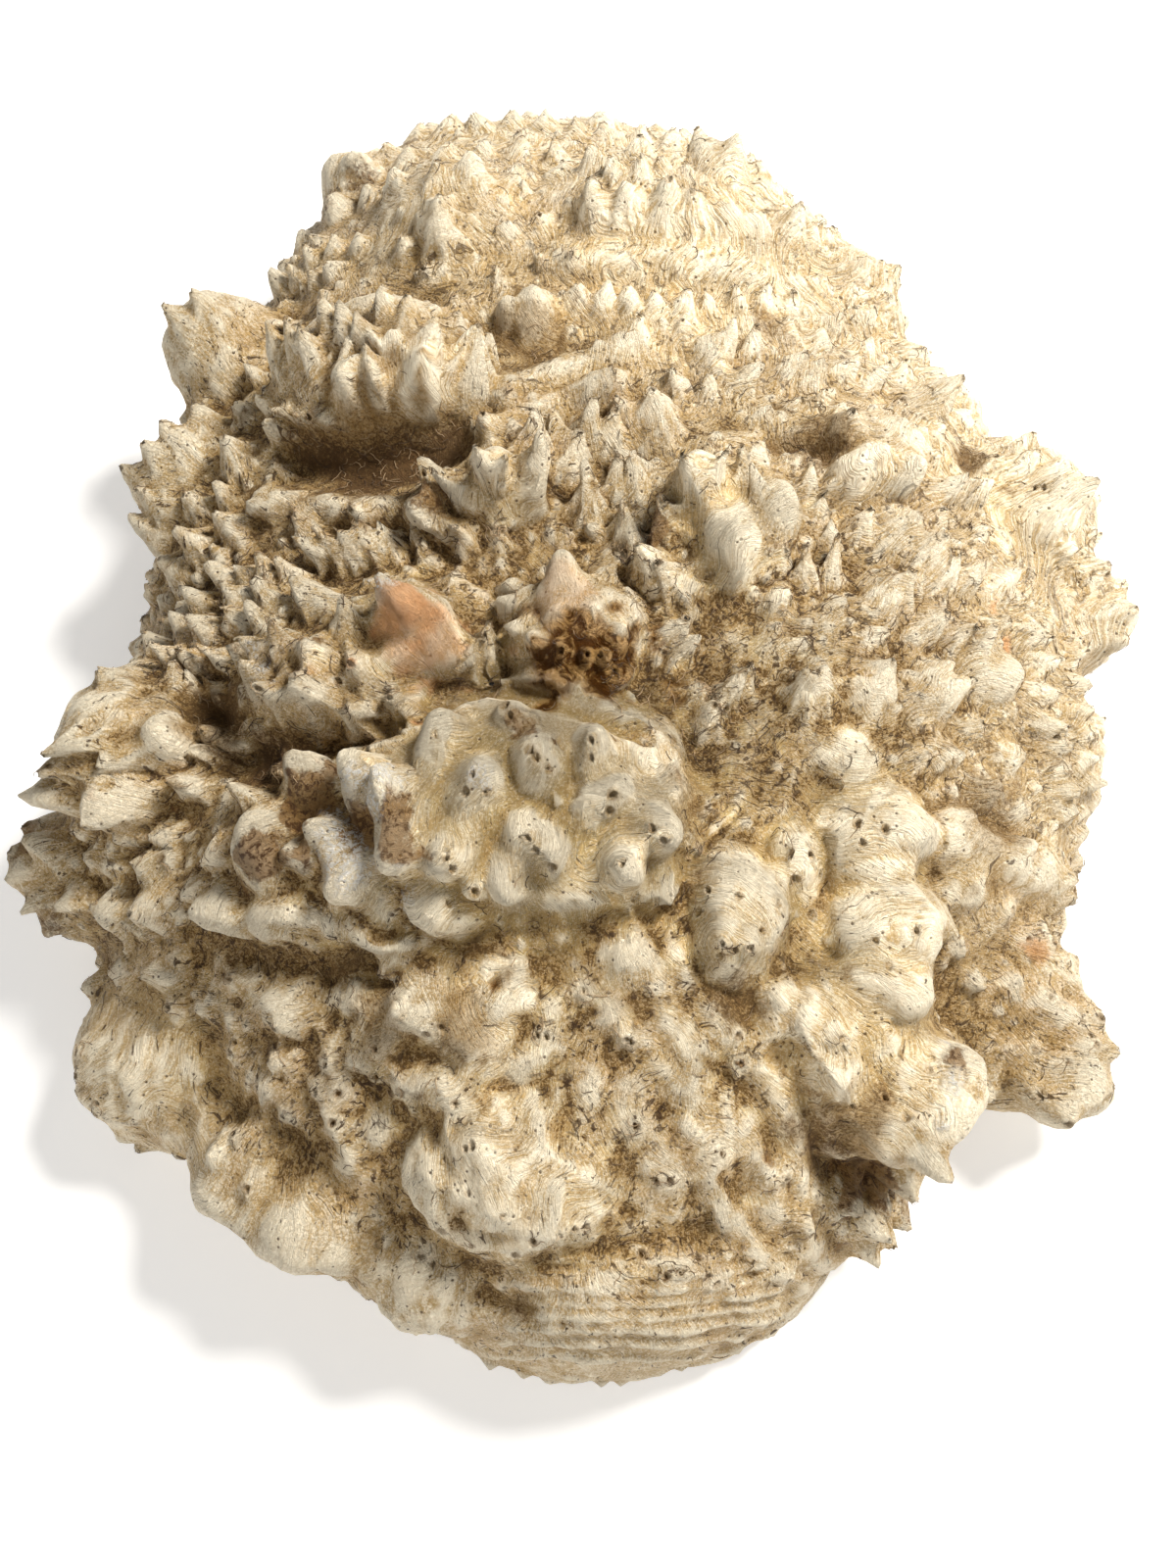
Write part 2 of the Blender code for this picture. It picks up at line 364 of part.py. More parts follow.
class Ground:
    """The surface that features are set on, and how the place that is seen at a picture point is found."""

    def __init__(self, subdivisions, shape):
        mesh = sphere_mesh(subdivisions)
        move_to(mesh, shape(points_of(mesh)))
        mesh.normal_update()
        self.tree = BVHTree.FromBMesh(mesh)
        mesh.free()
        self.eye, self.right, self.up, self.forward = sight_frame()

    def seen_at(self, place):
        """(point, normal) where the line of sight through a picture place meets the ground.

        A place just outside the outline is drawn in towards the middle until it meets it.
        """
        for step in range(DRAW_IN_STEPS):
            across = (place[0] - PICTURE_MIDDLE[0]) * (1 - step * DRAW_IN)
            down = (place[1] - PICTURE_MIDDLE[1]) * (1 - step * DRAW_IN)
            ray = self.forward + (self.right * across - self.up * down) / SIGHT_FOCAL
            point, normal, _, _ = self.tree.ray_cast(Vector(self.eye), Vector(unit(ray)))
            if point is not None and point.z > 0:
                return np.array(point), np.array(normal)
        raise ValueError(f"nothing is seen at {place}")

    def nearest(self, point):
        found, normal, _, _ = self.tree.find_nearest(Vector(point))
        return np.array(found), np.array(normal)

    def along_picture(self, normal, direction):
        """The direction along the surface that looks like this direction in the picture."""
        wanted = self.right * direction[0] + self.up * direction[1]
        return unit(wanted - normal * (wanted @ normal))


class Cloud:
    """Points sorted along X, so that those near a place are found without looking at them all."""

    def __init__(self, points):
        self.points = points
        self.order = np.argsort(points[:, 0])
        self.sorted = points[self.order, 0]

    def near(self, centre, reach):
        first, last = np.searchsorted(self.sorted, (centre[0] - reach, centre[0] + reach))
        slab = self.order[first:last]
        return slab[(np.abs(self.points[slab] - centre) < reach).all(axis=1)]


def shares(cloud, centre, normal, along, radii, profile):
    """The points that one raised form lifts, and the share of its height that each gets."""
    depth = DEPTH_REACH * max(radii)
    near = cloud.near(centre, depth)
    offset = cloud.points[near] - centre
    across = np.cross(normal, along)
    squares = (offset @ along / radii[0]) ** 2 + (offset @ across / radii[1]) ** 2
    q = np.sqrt(squares + (offset @ normal / depth) ** 2)
    inside = q < 1
    return near[inside], (1 - q[inside] ** profile[0]) ** profile[1]


def raise_lobes(points, ground):
    """The plain dome with its broad lobes."""
    cloud = Cloud(points)
    raised = points.copy()
    for place, radius, height, stretch, toward, profile in LOBES:
        centre, normal = ground.seen_at(place)
        along = ground.along_picture(normal, toward)
        near, share = shares(cloud, centre, normal, along, (radius * stretch * MM, radius * MM), profile)
        raised[near] += height * MM * share[:, None] * (normal + LOBE_LEAN * share[:, None] * along)
    return raised


def fold_offsets(points, line, half_width):
    """The distance of each near point from a polyline, as (indices, distances)."""
    low, high = line.min(axis=0) - half_width, line.max(axis=0) + half_width
    near = np.nonzero(((points > low) & (points < high)).all(axis=1))[0]
    distance = np.full(len(near), np.inf)
    for start, end in zip(line[:-1], line[1:]):
        run = end - start
        share = np.clip((points[near] - start) @ run / (run @ run), 0, 1)
        distance = np.minimum(distance, np.linalg.norm(points[near] - start - share[:, None] * run, axis=1))
    return near, distance


def raise_folds(points, ground):
    """Folds stand out and furrows sink in along their lines, fading at both sides."""
    raised = points.copy()
    for places, half_width, height in FOLDS:
        found = [ground.seen_at(place) for place in resampled(places, 1 + 3 * (len(places) - 1))]
        line = np.array([point for point, _ in found])
        normal = unit(np.mean([normal for _, normal in found], axis=0))
        near, distance = fold_offsets(points, line, half_width * MM)
        q = np.clip(distance / (half_width * MM), 0, 1)
        raised[near] += (height * MM * (1 - q ** 2) ** 2)[:, None] * normal
    return raised


def resampled(places, count):
    """Places spread evenly along a polyline in the picture."""
    line = np.array(places, float)
    if count == 1 or len(line) == 1:
        return [tuple(line[0])] * count
    runs = np.concatenate([[0], np.cumsum(np.linalg.norm(np.diff(line, axis=0), axis=1))])
    wanted = np.linspace(0, runs[-1], count)
    return list(zip(np.interp(wanted, runs, line[:, 0]), np.interp(wanted, runs, line[:, 1])))


def raise_together(points, forms):
    """Where forms overlap, the tallest leads and a soft crease stays between them."""
    cloud = Cloud(points)
    powers = np.zeros(len(points))
    directions = np.zeros_like(points)
    for centre, normal, along, radii, height, profile, lean in forms:
        near, share = shares(cloud, centre, normal, along, radii, profile)
        lifts = (height / MM * share) ** JOIN_POWER
        powers[near] += lifts
        directions[near] += lifts[:, None] * (normal + lean * share[:, None] * along)
    lifted = powers > 0
    reach = MM * powers[lifted] ** (1 / JOIN_POWER - 1)
    moved = points.copy()
    moved[lifted] += directions[lifted] * reach[:, None]
    return moved


def knob_forms(ground):
    forms = []
    for place, radius, height, toward in KNOBS:
        centre, normal = ground.seen_at(place)
        along = ground.along_picture(normal, toward)
        radii = [radius * share * MM for share in KNOB_OVAL]
        forms.append((centre, normal, along, radii, height * MM, KNOB, KNOB_LEAN))
    return forms


def row_spikes(ground, draw):
    """The spikes that stand in rows, each a little unlike its neighbours."""
    forms = []
    for places, count, radius, height, toward in SPIKE_ROWS:
        for across, down in resampled(places, count):
            place = (across + draw.uniform(-ROW_STRAY, ROW_STRAY), down + draw.uniform(-ROW_STRAY, ROW_STRAY))
            turn = draw.uniform(-ROW_TURN, ROW_TURN)
            size = draw.uniform(*ROW_SIZES)
            direction = (toward[0] * math.cos(turn) - toward[1] * math.sin(turn),
                         toward[0] * math.sin(turn) + toward[1] * math.cos(turn))
            centre, normal = ground.seen_at(place)
            along = ground.along_picture(normal, direction)
            radii = [radius * size * ROW_WIDTH * share * MM for share in SPIKE_OVAL]
            tall = height * draw.uniform(*ROW_SIZES) * MM
            forms.append((centre, normal, along, radii, tall, SPIKE, SPIKE_LEAN))
    return forms


def scattered_spikes(ground, taken, draw):
    """Smaller spikes wherever the rows leave room, round the back as well, kept off the calm places."""
    calm = [(ground.seen_at(place)[0], radius * MM) for place, radius in CALM_PLACES]
    forms, centres = [], [form[0] for form in taken]
    for _ in range(SCATTER_COUNT):
        bearing = draw.uniform(0, 2 * math.pi)
        rise = draw.uniform(LOWEST_RISE, 1)
        level = math.sqrt(1 - rise * rise)
        start = dome_points(np.array([[level * math.cos(bearing), level * math.sin(bearing), rise]]))[0]
        centre, normal = ground.nearest(start)
        radius = draw.uniform(*SCATTER_RADIUS)
        slope = draw.uniform(*SCATTER_SLOPE)
        turn = draw.uniform(-SCATTER_TURN, SCATTER_TURN)
        smooth_front = abs(bearing - SMOOTH_FRONT_BEARING) < SMOOTH_FRONT_HALF
        if smooth_front and draw.random() < SMOOTH_FRONT_SHARE:
            continue
        if centre[2] < LOWEST_SPIKE or any(np.linalg.norm(centre - c) < r for c, r in calm):
            continue
        if np.linalg.norm(np.array(centres) - centre, axis=1).min() < SCATTER_SPACING:
            continue
        outward = np.array([centre[0], centre[1] + LEAN_LINE, 0.0])
        outward = unit(outward - normal * (outward @ normal))
        across = np.cross(normal, outward)
        along = outward * math.cos(turn) + across * math.sin(turn)
        radii = [radius * share for share in SPIKE_OVAL]
        forms.append((centre, normal, along, radii, radius * slope, SPIKE, SPIKE_LEAN))
        centres.append(centre)
    return forms


def burl_shape():
    """The steps from a unit sphere to the burl's surface, as one function of points."""
    plain = Ground(GROUND_DETAIL, dome_points)

    def with_lobes(directions):
        return raise_lobes(dome_points(directions), plain)

    lobed = Ground(GROUND_DETAIL, with_lobes)

    def with_folds(directions):
        return raise_folds(with_lobes(directions), lobed)

    folded = Ground(GROUND_DETAIL, with_folds)
    knobs = knob_forms(folded)

    def with_knobs(directions):
        return raise_together(with_folds(directions), knobs)

    knobbed = Ground(GROUND_DETAIL, with_knobs)
    draw = random.Random(SCATTER_SEED)
    spikes = row_spikes(knobbed, draw)
    spikes += scattered_spikes(knobbed, spikes + knobs, draw)

    def whole(directions):
        return raise_together(with_knobs(directions), spikes)

    return whole


def wood_material():
    material = bpy.data.materials.new("burl_wood")
    material.use_nodes = True
    shader = material.node_tree.nodes["Principled BSDF"]
    shader.inputs["Base Color"].default_value = WOOD_COLOUR
    shader.inputs["Roughness"].default_value = WOOD_ROUGHNESS
    shader.inputs["Metallic"].default_value = 0
    return material


def crossing_faces(mesh):
    mesh.faces.ensure_lookup_table()
    tree = BVHTree.FromBMesh(mesh)
    crossing = set()
    for first, second in tree.overlap(tree):
        if first < second and not set(mesh.faces[first].verts) & set(mesh.faces[second].verts):
            crossing |= {mesh.faces[first], mesh.faces[second]}
    return crossing


def untangle(mesh):
    """Smooths the corners of faces that cross each other, until none do."""
    for _ in range(UNTANGLE_ROUNDS):
        corners = {vert for face in crossing_faces(mesh) for vert in face.verts}
        if not corners:
            return
        bmesh.ops.smooth_vert(mesh, verts=list(corners), factor=0.5,
                              use_axis_x=True, use_axis_y=True, use_axis_z=True)


def sawn_flat(mesh):
    """Cuts everything under the saw's plane away and closes the cut with one flat face."""
    for vert in mesh.verts:
        if abs(vert.co.z) < SAW_SNAP:
            vert.co.z = 0
    everything = mesh.verts[:] + mesh.edges[:] + mesh.faces[:]
    bmesh.ops.bisect_plane(mesh, geom=everything, dist=CUT_TOLERANCE, plane_co=(0, 0, 0), plane_no=(0, 0, -1),
                           clear_outer=True)
    rim = [edge for edge in mesh.edges if edge.is_boundary]
    bmesh.ops.holes_fill(mesh, edges=rim, sides=0)
    bmesh.ops.triangulate(mesh, faces=[face for face in mesh.faces if len(face.verts) > 3])


def build_burl(collection):
    mesh = sphere_mesh(SPHERE_DETAIL)
    directions = points_of(mesh)
    low = [vert for vert, direction in zip(mesh.verts, directions) if direction[2] < LOWEST_DIRECTION]
    bmesh.ops.delete(mesh, geom=low, context="VERTS")
    move_to(mesh, burl_shape()(points_of(mesh)))
    data = bpy.data.meshes.new("burl_cap")
    mesh.to_mesh(data)
    mesh.free()
    burl = bpy.data.objects.new("burl_cap", data)
    collection.objects.link(burl)
    thin = burl.modifiers.new("thin", "DECIMATE")
    thin.ratio = TRIANGLES / len(data.polygons)
    graph = bpy.context.evaluated_depsgraph_get()
    thinned = bpy.data.meshes.new_from_object(burl.evaluated_get(graph))
    burl.modifiers.clear()
    burl.data = thinned
    bpy.data.meshes.remove(data)
    mesh = bmesh.new()
    mesh.from_mesh(thinned)
    untangle(mesh)
    sawn_flat(mesh)
    bmesh.ops.translate(mesh, verts=mesh.verts, vec=(-BOX_CENTRE[0], -BOX_CENTRE[1], 0))
    mesh.to_mesh(thinned)
    mesh.free()
    thinned.name = "burl_cap"
    thinned.shade_smooth()
    thinned.set_sharp_from_angle(angle=SHARP_ANGLE)
    thinned.materials.append(wood_material())
    return burl


def main():
    for obj in list(bpy.data.objects):
        bpy.data.objects.remove(obj)
    collection = bpy.data.collections.new("mallee_burl_cap")
    bpy.context.scene.collection.children.link(collection)
    build_burl(collection)


main()
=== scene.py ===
import math
import random

import bmesh
import bpy
import numpy as np
from mathutils import Matrix, Vector
from mathutils.bvhtree import BVHTree
from mathutils.kdtree import KDTree


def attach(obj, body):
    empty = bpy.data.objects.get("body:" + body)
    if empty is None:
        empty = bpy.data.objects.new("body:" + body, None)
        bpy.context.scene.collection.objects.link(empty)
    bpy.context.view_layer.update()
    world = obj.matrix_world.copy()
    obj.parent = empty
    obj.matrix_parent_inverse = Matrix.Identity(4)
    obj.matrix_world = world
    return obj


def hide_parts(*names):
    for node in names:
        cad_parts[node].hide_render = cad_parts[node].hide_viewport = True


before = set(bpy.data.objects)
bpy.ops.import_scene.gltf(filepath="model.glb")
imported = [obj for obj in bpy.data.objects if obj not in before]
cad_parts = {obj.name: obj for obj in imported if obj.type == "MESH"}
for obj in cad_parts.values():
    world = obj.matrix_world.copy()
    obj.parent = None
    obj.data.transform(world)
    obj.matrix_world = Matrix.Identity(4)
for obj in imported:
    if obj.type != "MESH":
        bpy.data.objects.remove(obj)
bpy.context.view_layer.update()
mm = 0.001

# The line of sight of the photograph. Places on the burl are given as they are seen from there, as
# (steps right, steps down) in a picture 1200 steps wide and 1600 high.
sight = {
    "elevation": 70,
    "distance": 367 * mm,
    "target": np.array([4.0, -45.0, 46.0]) * mm,
    "focalSteps": 1511.0,
    "middle": (600, 800),
    "steps": (1200, 1600),
    # A place just outside the outline is drawn in towards the middle by such steps until it meets the burl
    "drawIn": 0.01,
    "drawInSteps": 40,
}

burlForm = {
    "boxCentre": (3.8 * mm, 2.9 * mm),
    "domeHeight": 84 * mm,
    "domeRoundness": 2.25,
    # How far the rim stands from the middle of the dome, every 15 degrees from +X towards +Y
    "rimRadii": [radius * mm for radius in (
        140, 144, 139, 140, 163, 179, 187, 189, 164, 136, 132, 122,
        118, 138, 146, 156, 162, 173, 185, 182, 156, 147, 148, 140)],
    "rimSmoothing": 75.0,
    # How a raised form leans, and how far over and under the ground it reaches, in its own radii
    "lobeLean": 0.15,
    "knobLean": 0.35,
    "spikeLean": 1.0,
    "depthReach": 1.3,
    # How far a spike of a row strays from its place in the picture, its direction and its size
    "rowWidth": 1.2,
    "rowStray": 2,
    "rowTurn": 0.35,
    "rowSizes": (0.85, 1.15),
    "knobOval": (1.2, 0.9),
    "spikeOval": (1.15, 0.92),
    # Ridges that run down the flanks of the spikes
    "fluteDepth": 0.13,
    "fluteCounts": (5, 6, 7, 8),
    "joinPower": 4,
    # How often the triangles of each sphere are split, and what the last one is thinned to
    "groundDetail": 7,
    "spikedDetail": 8,
    "denseDetail": 9,
    "denseLowest": -0.3,
    "triangles": 130000,
}

# Directions in the picture that tips lean towards
up, down, left, right = (0, 1), (0, -1), (-1, 0), (1, 0)
upLeft, upRight, downLeft, downRight = (-1, 1), (1, 1), (-1, -1), (1, -1)

# Profiles of a raised form, as the two powers in (1 - q ** a) ** b
swell, mound, shelf, knob, spike = (2, 2), (3, 1.7), (4, 1.6), (2, 1.5), (1.4, 1.6)

# Broad lobes: (place, radius mm, height mm, stretch along the lean, lean direction, profile)
lobes = [
    ((545, 825), 33, 16, 1.3, right, shelf),
    ((335, 868), 30, 9, 1.25, right, mound),
    ((750, 935), 13, 10, 1.35, up, shelf),
    ((885, 848), 15, 7, 1.1, right, mound),
    ((892, 952), 18, 10, 1.0, down, shelf),
    ((865, 1075), 25, 13, 1.15, right, shelf),
    ((912, 1115), 21, 14, 1.15, right, shelf),
    ((905, 900), 38, 3, 1.0, up, swell),
    ((1060, 1060), 30, 14, 1.0, downRight, swell),
    ((1115, 1080), 20, 10, 1.0, right, swell),
    ((1075, 1125), 20, 9, 1.0, downRight, swell),
    ((1010, 1060), 26, 5, 1.0, right, swell),
    ((1065, 520), 26, 14, 1.0, upRight, mound),
    ((1112, 630), 18, 17, 0.8, right, swell),
    ((1090, 770), 26, 8, 1.0, right, swell),
    ((420, 640), 20, 7, 1.0, up, swell),
    ((590, 652), 17, 12, 1.15, right, mound),
    ((380, 385), 34, 14, 0.7, up, shelf),
    ((460, 215), 32, 10, 1.0, up, swell),
    ((700, 215), 44, 11, 0.6, up, shelf),
    ((365, 195), 16, 12, 1.0, upLeft, swell),
    ((236, 366), 20, 22, 1.0, upLeft, shelf),
    ((880, 300), 24, 9, 1.0, upRight, swell),
    ((135, 765), 27, 16, 1.0, left, mound),
    ((75, 890), 24, 17, 1.0, left, swell),
    ((140, 1100), 28, 15, 1.0, left, mound),
    ((250, 1190), 24, 12, 1.0, downLeft, swell),
    ((320, 1245), 20, 12, 1.0, down, swell),
    ((430, 1310), 20, 10, 1.0, down, swell),
    ((640, 1340), 44, 6, 0.6, down, swell),
    ((880, 1230), 22, 7, 1.0, downRight, swell),
    ((505, 500), 26, 9, 0.8, up, swell),
    ((740, 520), 28, 10, 1.0, up, swell),
    ((900, 470), 28, 9, 0.8, up, swell),
    ((330, 690), 30, 9, 0.8, upLeft, swell),
    ((190, 500), 26, 9, 1.0, upLeft, swell),
    ((840, 690), 30, 6, 1.0, up, swell),
    ((515, 1215), 25, 8, 0.8, down, mound),
    ((440, 1025), 21, 6, 1.2, right, mound),
    ((490, 1118), 18, 4.5, 1.1, right, mound),
    ((950, 610), 30, 5, 1.0, upRight, swell),
]

# Folds and furrows along a line: (places, half width mm, height mm)
folds = [
    ([(480, 410), (560, 382), (650, 350)], 7, 3.5),
    ([(490, 440), (560, 420), (625, 392)], 6, 3.5),
    ([(575, 262), (700, 268), (810, 290)], 7, 3),
    ([(270, 512), (340, 520), (430, 520)], 6, 3),
    ([(600, 1100), (590, 1150), (600, 1200)], 5.5, 1.5),
    ([(630, 1040), (665, 1085), (690, 1110)], 4.5, 1),
    ([(660, 1010), (700, 1060), (722, 1105)], 4.5, 1),
    ([(725, 1020), (745, 1060), (760, 1095)], 4.5, 1),
    ([(770, 1010), (800, 1060), (845, 1110)], 5.5, 1.5),
    ([(760, 1150), (785, 1220), (845, 1292)], 5.5, 1.5),
    ([(800, 1150), (825, 1220), (890, 1272)], 5.5, 1.5),
    ([(720, 1210), (760, 1270), (830, 1318)], 4.5, 1),
    ([(340, 1130), (365, 1200), (385, 1270)], 6.5, 1.5),
    ([(560, 960), (520, 985), (460, 975)], 6.5, 1.5),
    ([(310, 930), (370, 950), (430, 960)], 6, 3),
    ([(645, 900), (650, 960), (670, 1000)], 5, 2),
    ([(690, 890), (690, 940), (700, 1000)], 4, 1.5),
    ([(1090, 1110), (1110, 1060), (1115, 1000)], 6.5, 1.5),
    ([(310, 462), (380, 470), (455, 458)], 13, -6),
    ([(560, 282), (660, 292), (770, 305), (850, 345)], 8, -2),
    ([(500, 345), (540, 358), (590, 345)], 12, -2.5),
    ([(480, 470), (570, 505), (615, 478), (700, 460), (860, 455)], 7, -2.5),
    ([(205, 700), (215, 750), (280, 780), (335, 765)], 12, -5.5),
    ([(715, 760), (712, 850), (700, 900)], 8, -2.5),
    ([(805, 1085), (840, 1145), (900, 1198)], 7, -4),
    ([(945, 822), (1000, 835), (1055, 858)], 4, -2),
    ([(845, 905), (895, 898), (955, 893)], 4, -2),
    ([(838, 860), (838, 910), (848, 975)], 4, -2),
    ([(385, 1000), (400, 1060), (450, 1090), (540, 1110)], 7, -2.5),
    ([(650, 548), (668, 540)], 5, -4),
    ([(960, 470), (1000, 475)], 8, -2.5),
    ([(200, 1000), (210, 1080), (240, 1140)], 9, -2.5),
    ([(740, 1100), (800, 1140), (850, 1190)], 8, -2),
    ([(560, 1290), (660, 1275), (700, 1262)], 7, -2),
    ([(500, 1330), (540, 1335)], 6, -2),
    ([(800, 455), (850, 458), (900, 448)], 6, -2),
    ([(1000, 1100), (960, 1040), (975, 960)], 8, -2.5),
    ([(230, 570), (180, 620), (165, 690)], 8, -2),
    ([(928, 846), (1010, 866), (1080, 902)], 9, 4),
    ([(195, 960), (300, 990), (430, 990), (540, 955), (620, 945), (700, 935)], 9, -2.5),
    ([(300, 752), (400, 735), (500, 700), (600, 722), (650, 745)], 6, -4),
    ([(350, 1020), (420, 1035), (500, 1030), (560, 1020)], 5.5, 1.5),
    ([(540, 1130), (560, 1180), (620, 1230)], 5.5, 1.5),
    ([(430, 1180), (470, 1215), (520, 1240)], 5.5, 1.5),
    ([(670, 1050), (690, 1110), (720, 1180), (740, 1230)], 5.5, 1.5),
    ([(560, 1070), (500, 1095), (440, 1100)], 4.5, 1),
]

# Round knobs: (place, radius mm, height mm, lean direction)
knobs = [
    ((430, 385), 10, 10, up), ((360, 402), 7, 8, up), ((388, 398), 6, 7, up), ((405, 362), 6, 6, up),
    ((545, 320), 8, 7, up), ((520, 322), 5, 5, up), ((345, 220), 7, 5, upLeft),
    ((370, 175), 7, 5, upLeft), ((505, 500), 9, 10, up), ((535, 505), 7, 9, up),
    ((440, 528), 7, 8, upLeft), ((715, 500), 10, 9, up), ((745, 555), 11, 9, up), ((790, 520), 9, 6, up),
    ((725, 368), 7, 5, up), ((935, 418), 10, 8, upRight), ((880, 478), 9, 8, upRight),
    ((918, 488), 7, 7, upRight), ((1080, 515), 12, 6, upRight), ((940, 952), 8, 3.5, downRight),
    ((978, 1082), 8, 3, right), ((855, 1100), 8, 2.5, downLeft), ((1075, 1120), 11, 5.5, down),
    ((1125, 1060), 13, 3, right), ((1065, 992), 9, 3, upRight), ((120, 815), 10, 8, left),
    ((165, 755), 9, 8, left), ((110, 735), 12, 7, left), ((150, 1095), 16, 4, left),
    ((230, 1215), 13, 4, downLeft), ((300, 1265), 11, 4, down), ((345, 1268), 10, 3.5, down),
    ((415, 1028), 10, 3.5, downLeft), ((510, 1018), 11, 3, down), ((486, 1058), 8, 3, down),
    ((940, 716), 9, 5, right), ((1010, 690), 10, 7, right), ((862, 772), 9, 5, right),
    ((615, 128), 7, 4, up), ((735, 165), 10, 4, up), ((300, 1025), 10, 5, left), ((640, 972), 8, 4, down),
    ((1070, 1030), 9, 3, right), ((985, 905), 8, 3, right), ((453, 762), 8, 8, up),
    ((527, 731), 6, 3, upLeft), ((552, 776), 8, 5.5, up), ((605, 768), 7, 6, up), ((488, 812), 9, 8, up),
    ((548, 858), 8, 8, downRight), ((460, 868), 8.5, 8, downLeft), ((487, 892), 5.5, 6, down),
    ((520, 890), 7.5, 8, down), ((564, 876), 4.5, 4.5, down), ((620, 816), 8, 6, upRight),
    ((664, 842), 8, 7, downRight), ((636, 876), 7, 7, down), ((450, 925), 10, 7.5, upLeft),
    ((374, 800), 7, 9, up), ((399, 812), 7, 8, up), ((408, 860), 8, 9, down), ((345, 860), 7, 9, upLeft),
    ((364, 890), 9, 9, downLeft), ((325, 805), 9, 10, upLeft), ((318, 872), 7, 7.5, left),
    ((272, 868), 11, 10, up), ((238, 925), 9, 9, left), ((280, 935), 9, 5, left),
    ((395, 925), 11, 5.5, down), ((575, 598), 8, 7, up), ((526, 602), 4, 4, left),
    ((524, 620), 4, 4, left), ((528, 641), 3.5, 3.5, left), ((567, 626), 4.5, 2, up),
    ((605, 634), 6, 2, up), ((628, 648), 5, 2, up), ((575, 664), 3.5, 3, up), ((600, 670), 3, 3, up),
    ((615, 671), 3, 3, up), ((631, 688), 4, 3, right), ((550, 655), 4, 3, upLeft),
    ((813, 884), 9, 7, up), ((792, 1018), 7, 5, down), ((822, 1034), 6, 4, down),
    ((425, 642), 13, 11, upLeft), ((872, 1165), 8.5, 2.5, down), ((905, 1175), 9, 2.5, down),
    ((940, 1168), 9, 2.5, down), ((968, 1145), 9, 2.5, down), ((858, 1062), 6, 3, upLeft),
    ((905, 1075), 6, 1.5, downRight), ((430, 1200), 9, 3.5, down), ((560, 1200), 8, 2.5, down),
    ((1098, 1065), 7, 3, right), ((1140, 1050), 8, 3, right), ((1100, 1105), 7, 3, downRight),
    ((1122, 1005), 8, 3, right), ((1136, 1042), 8, 3, right),
]

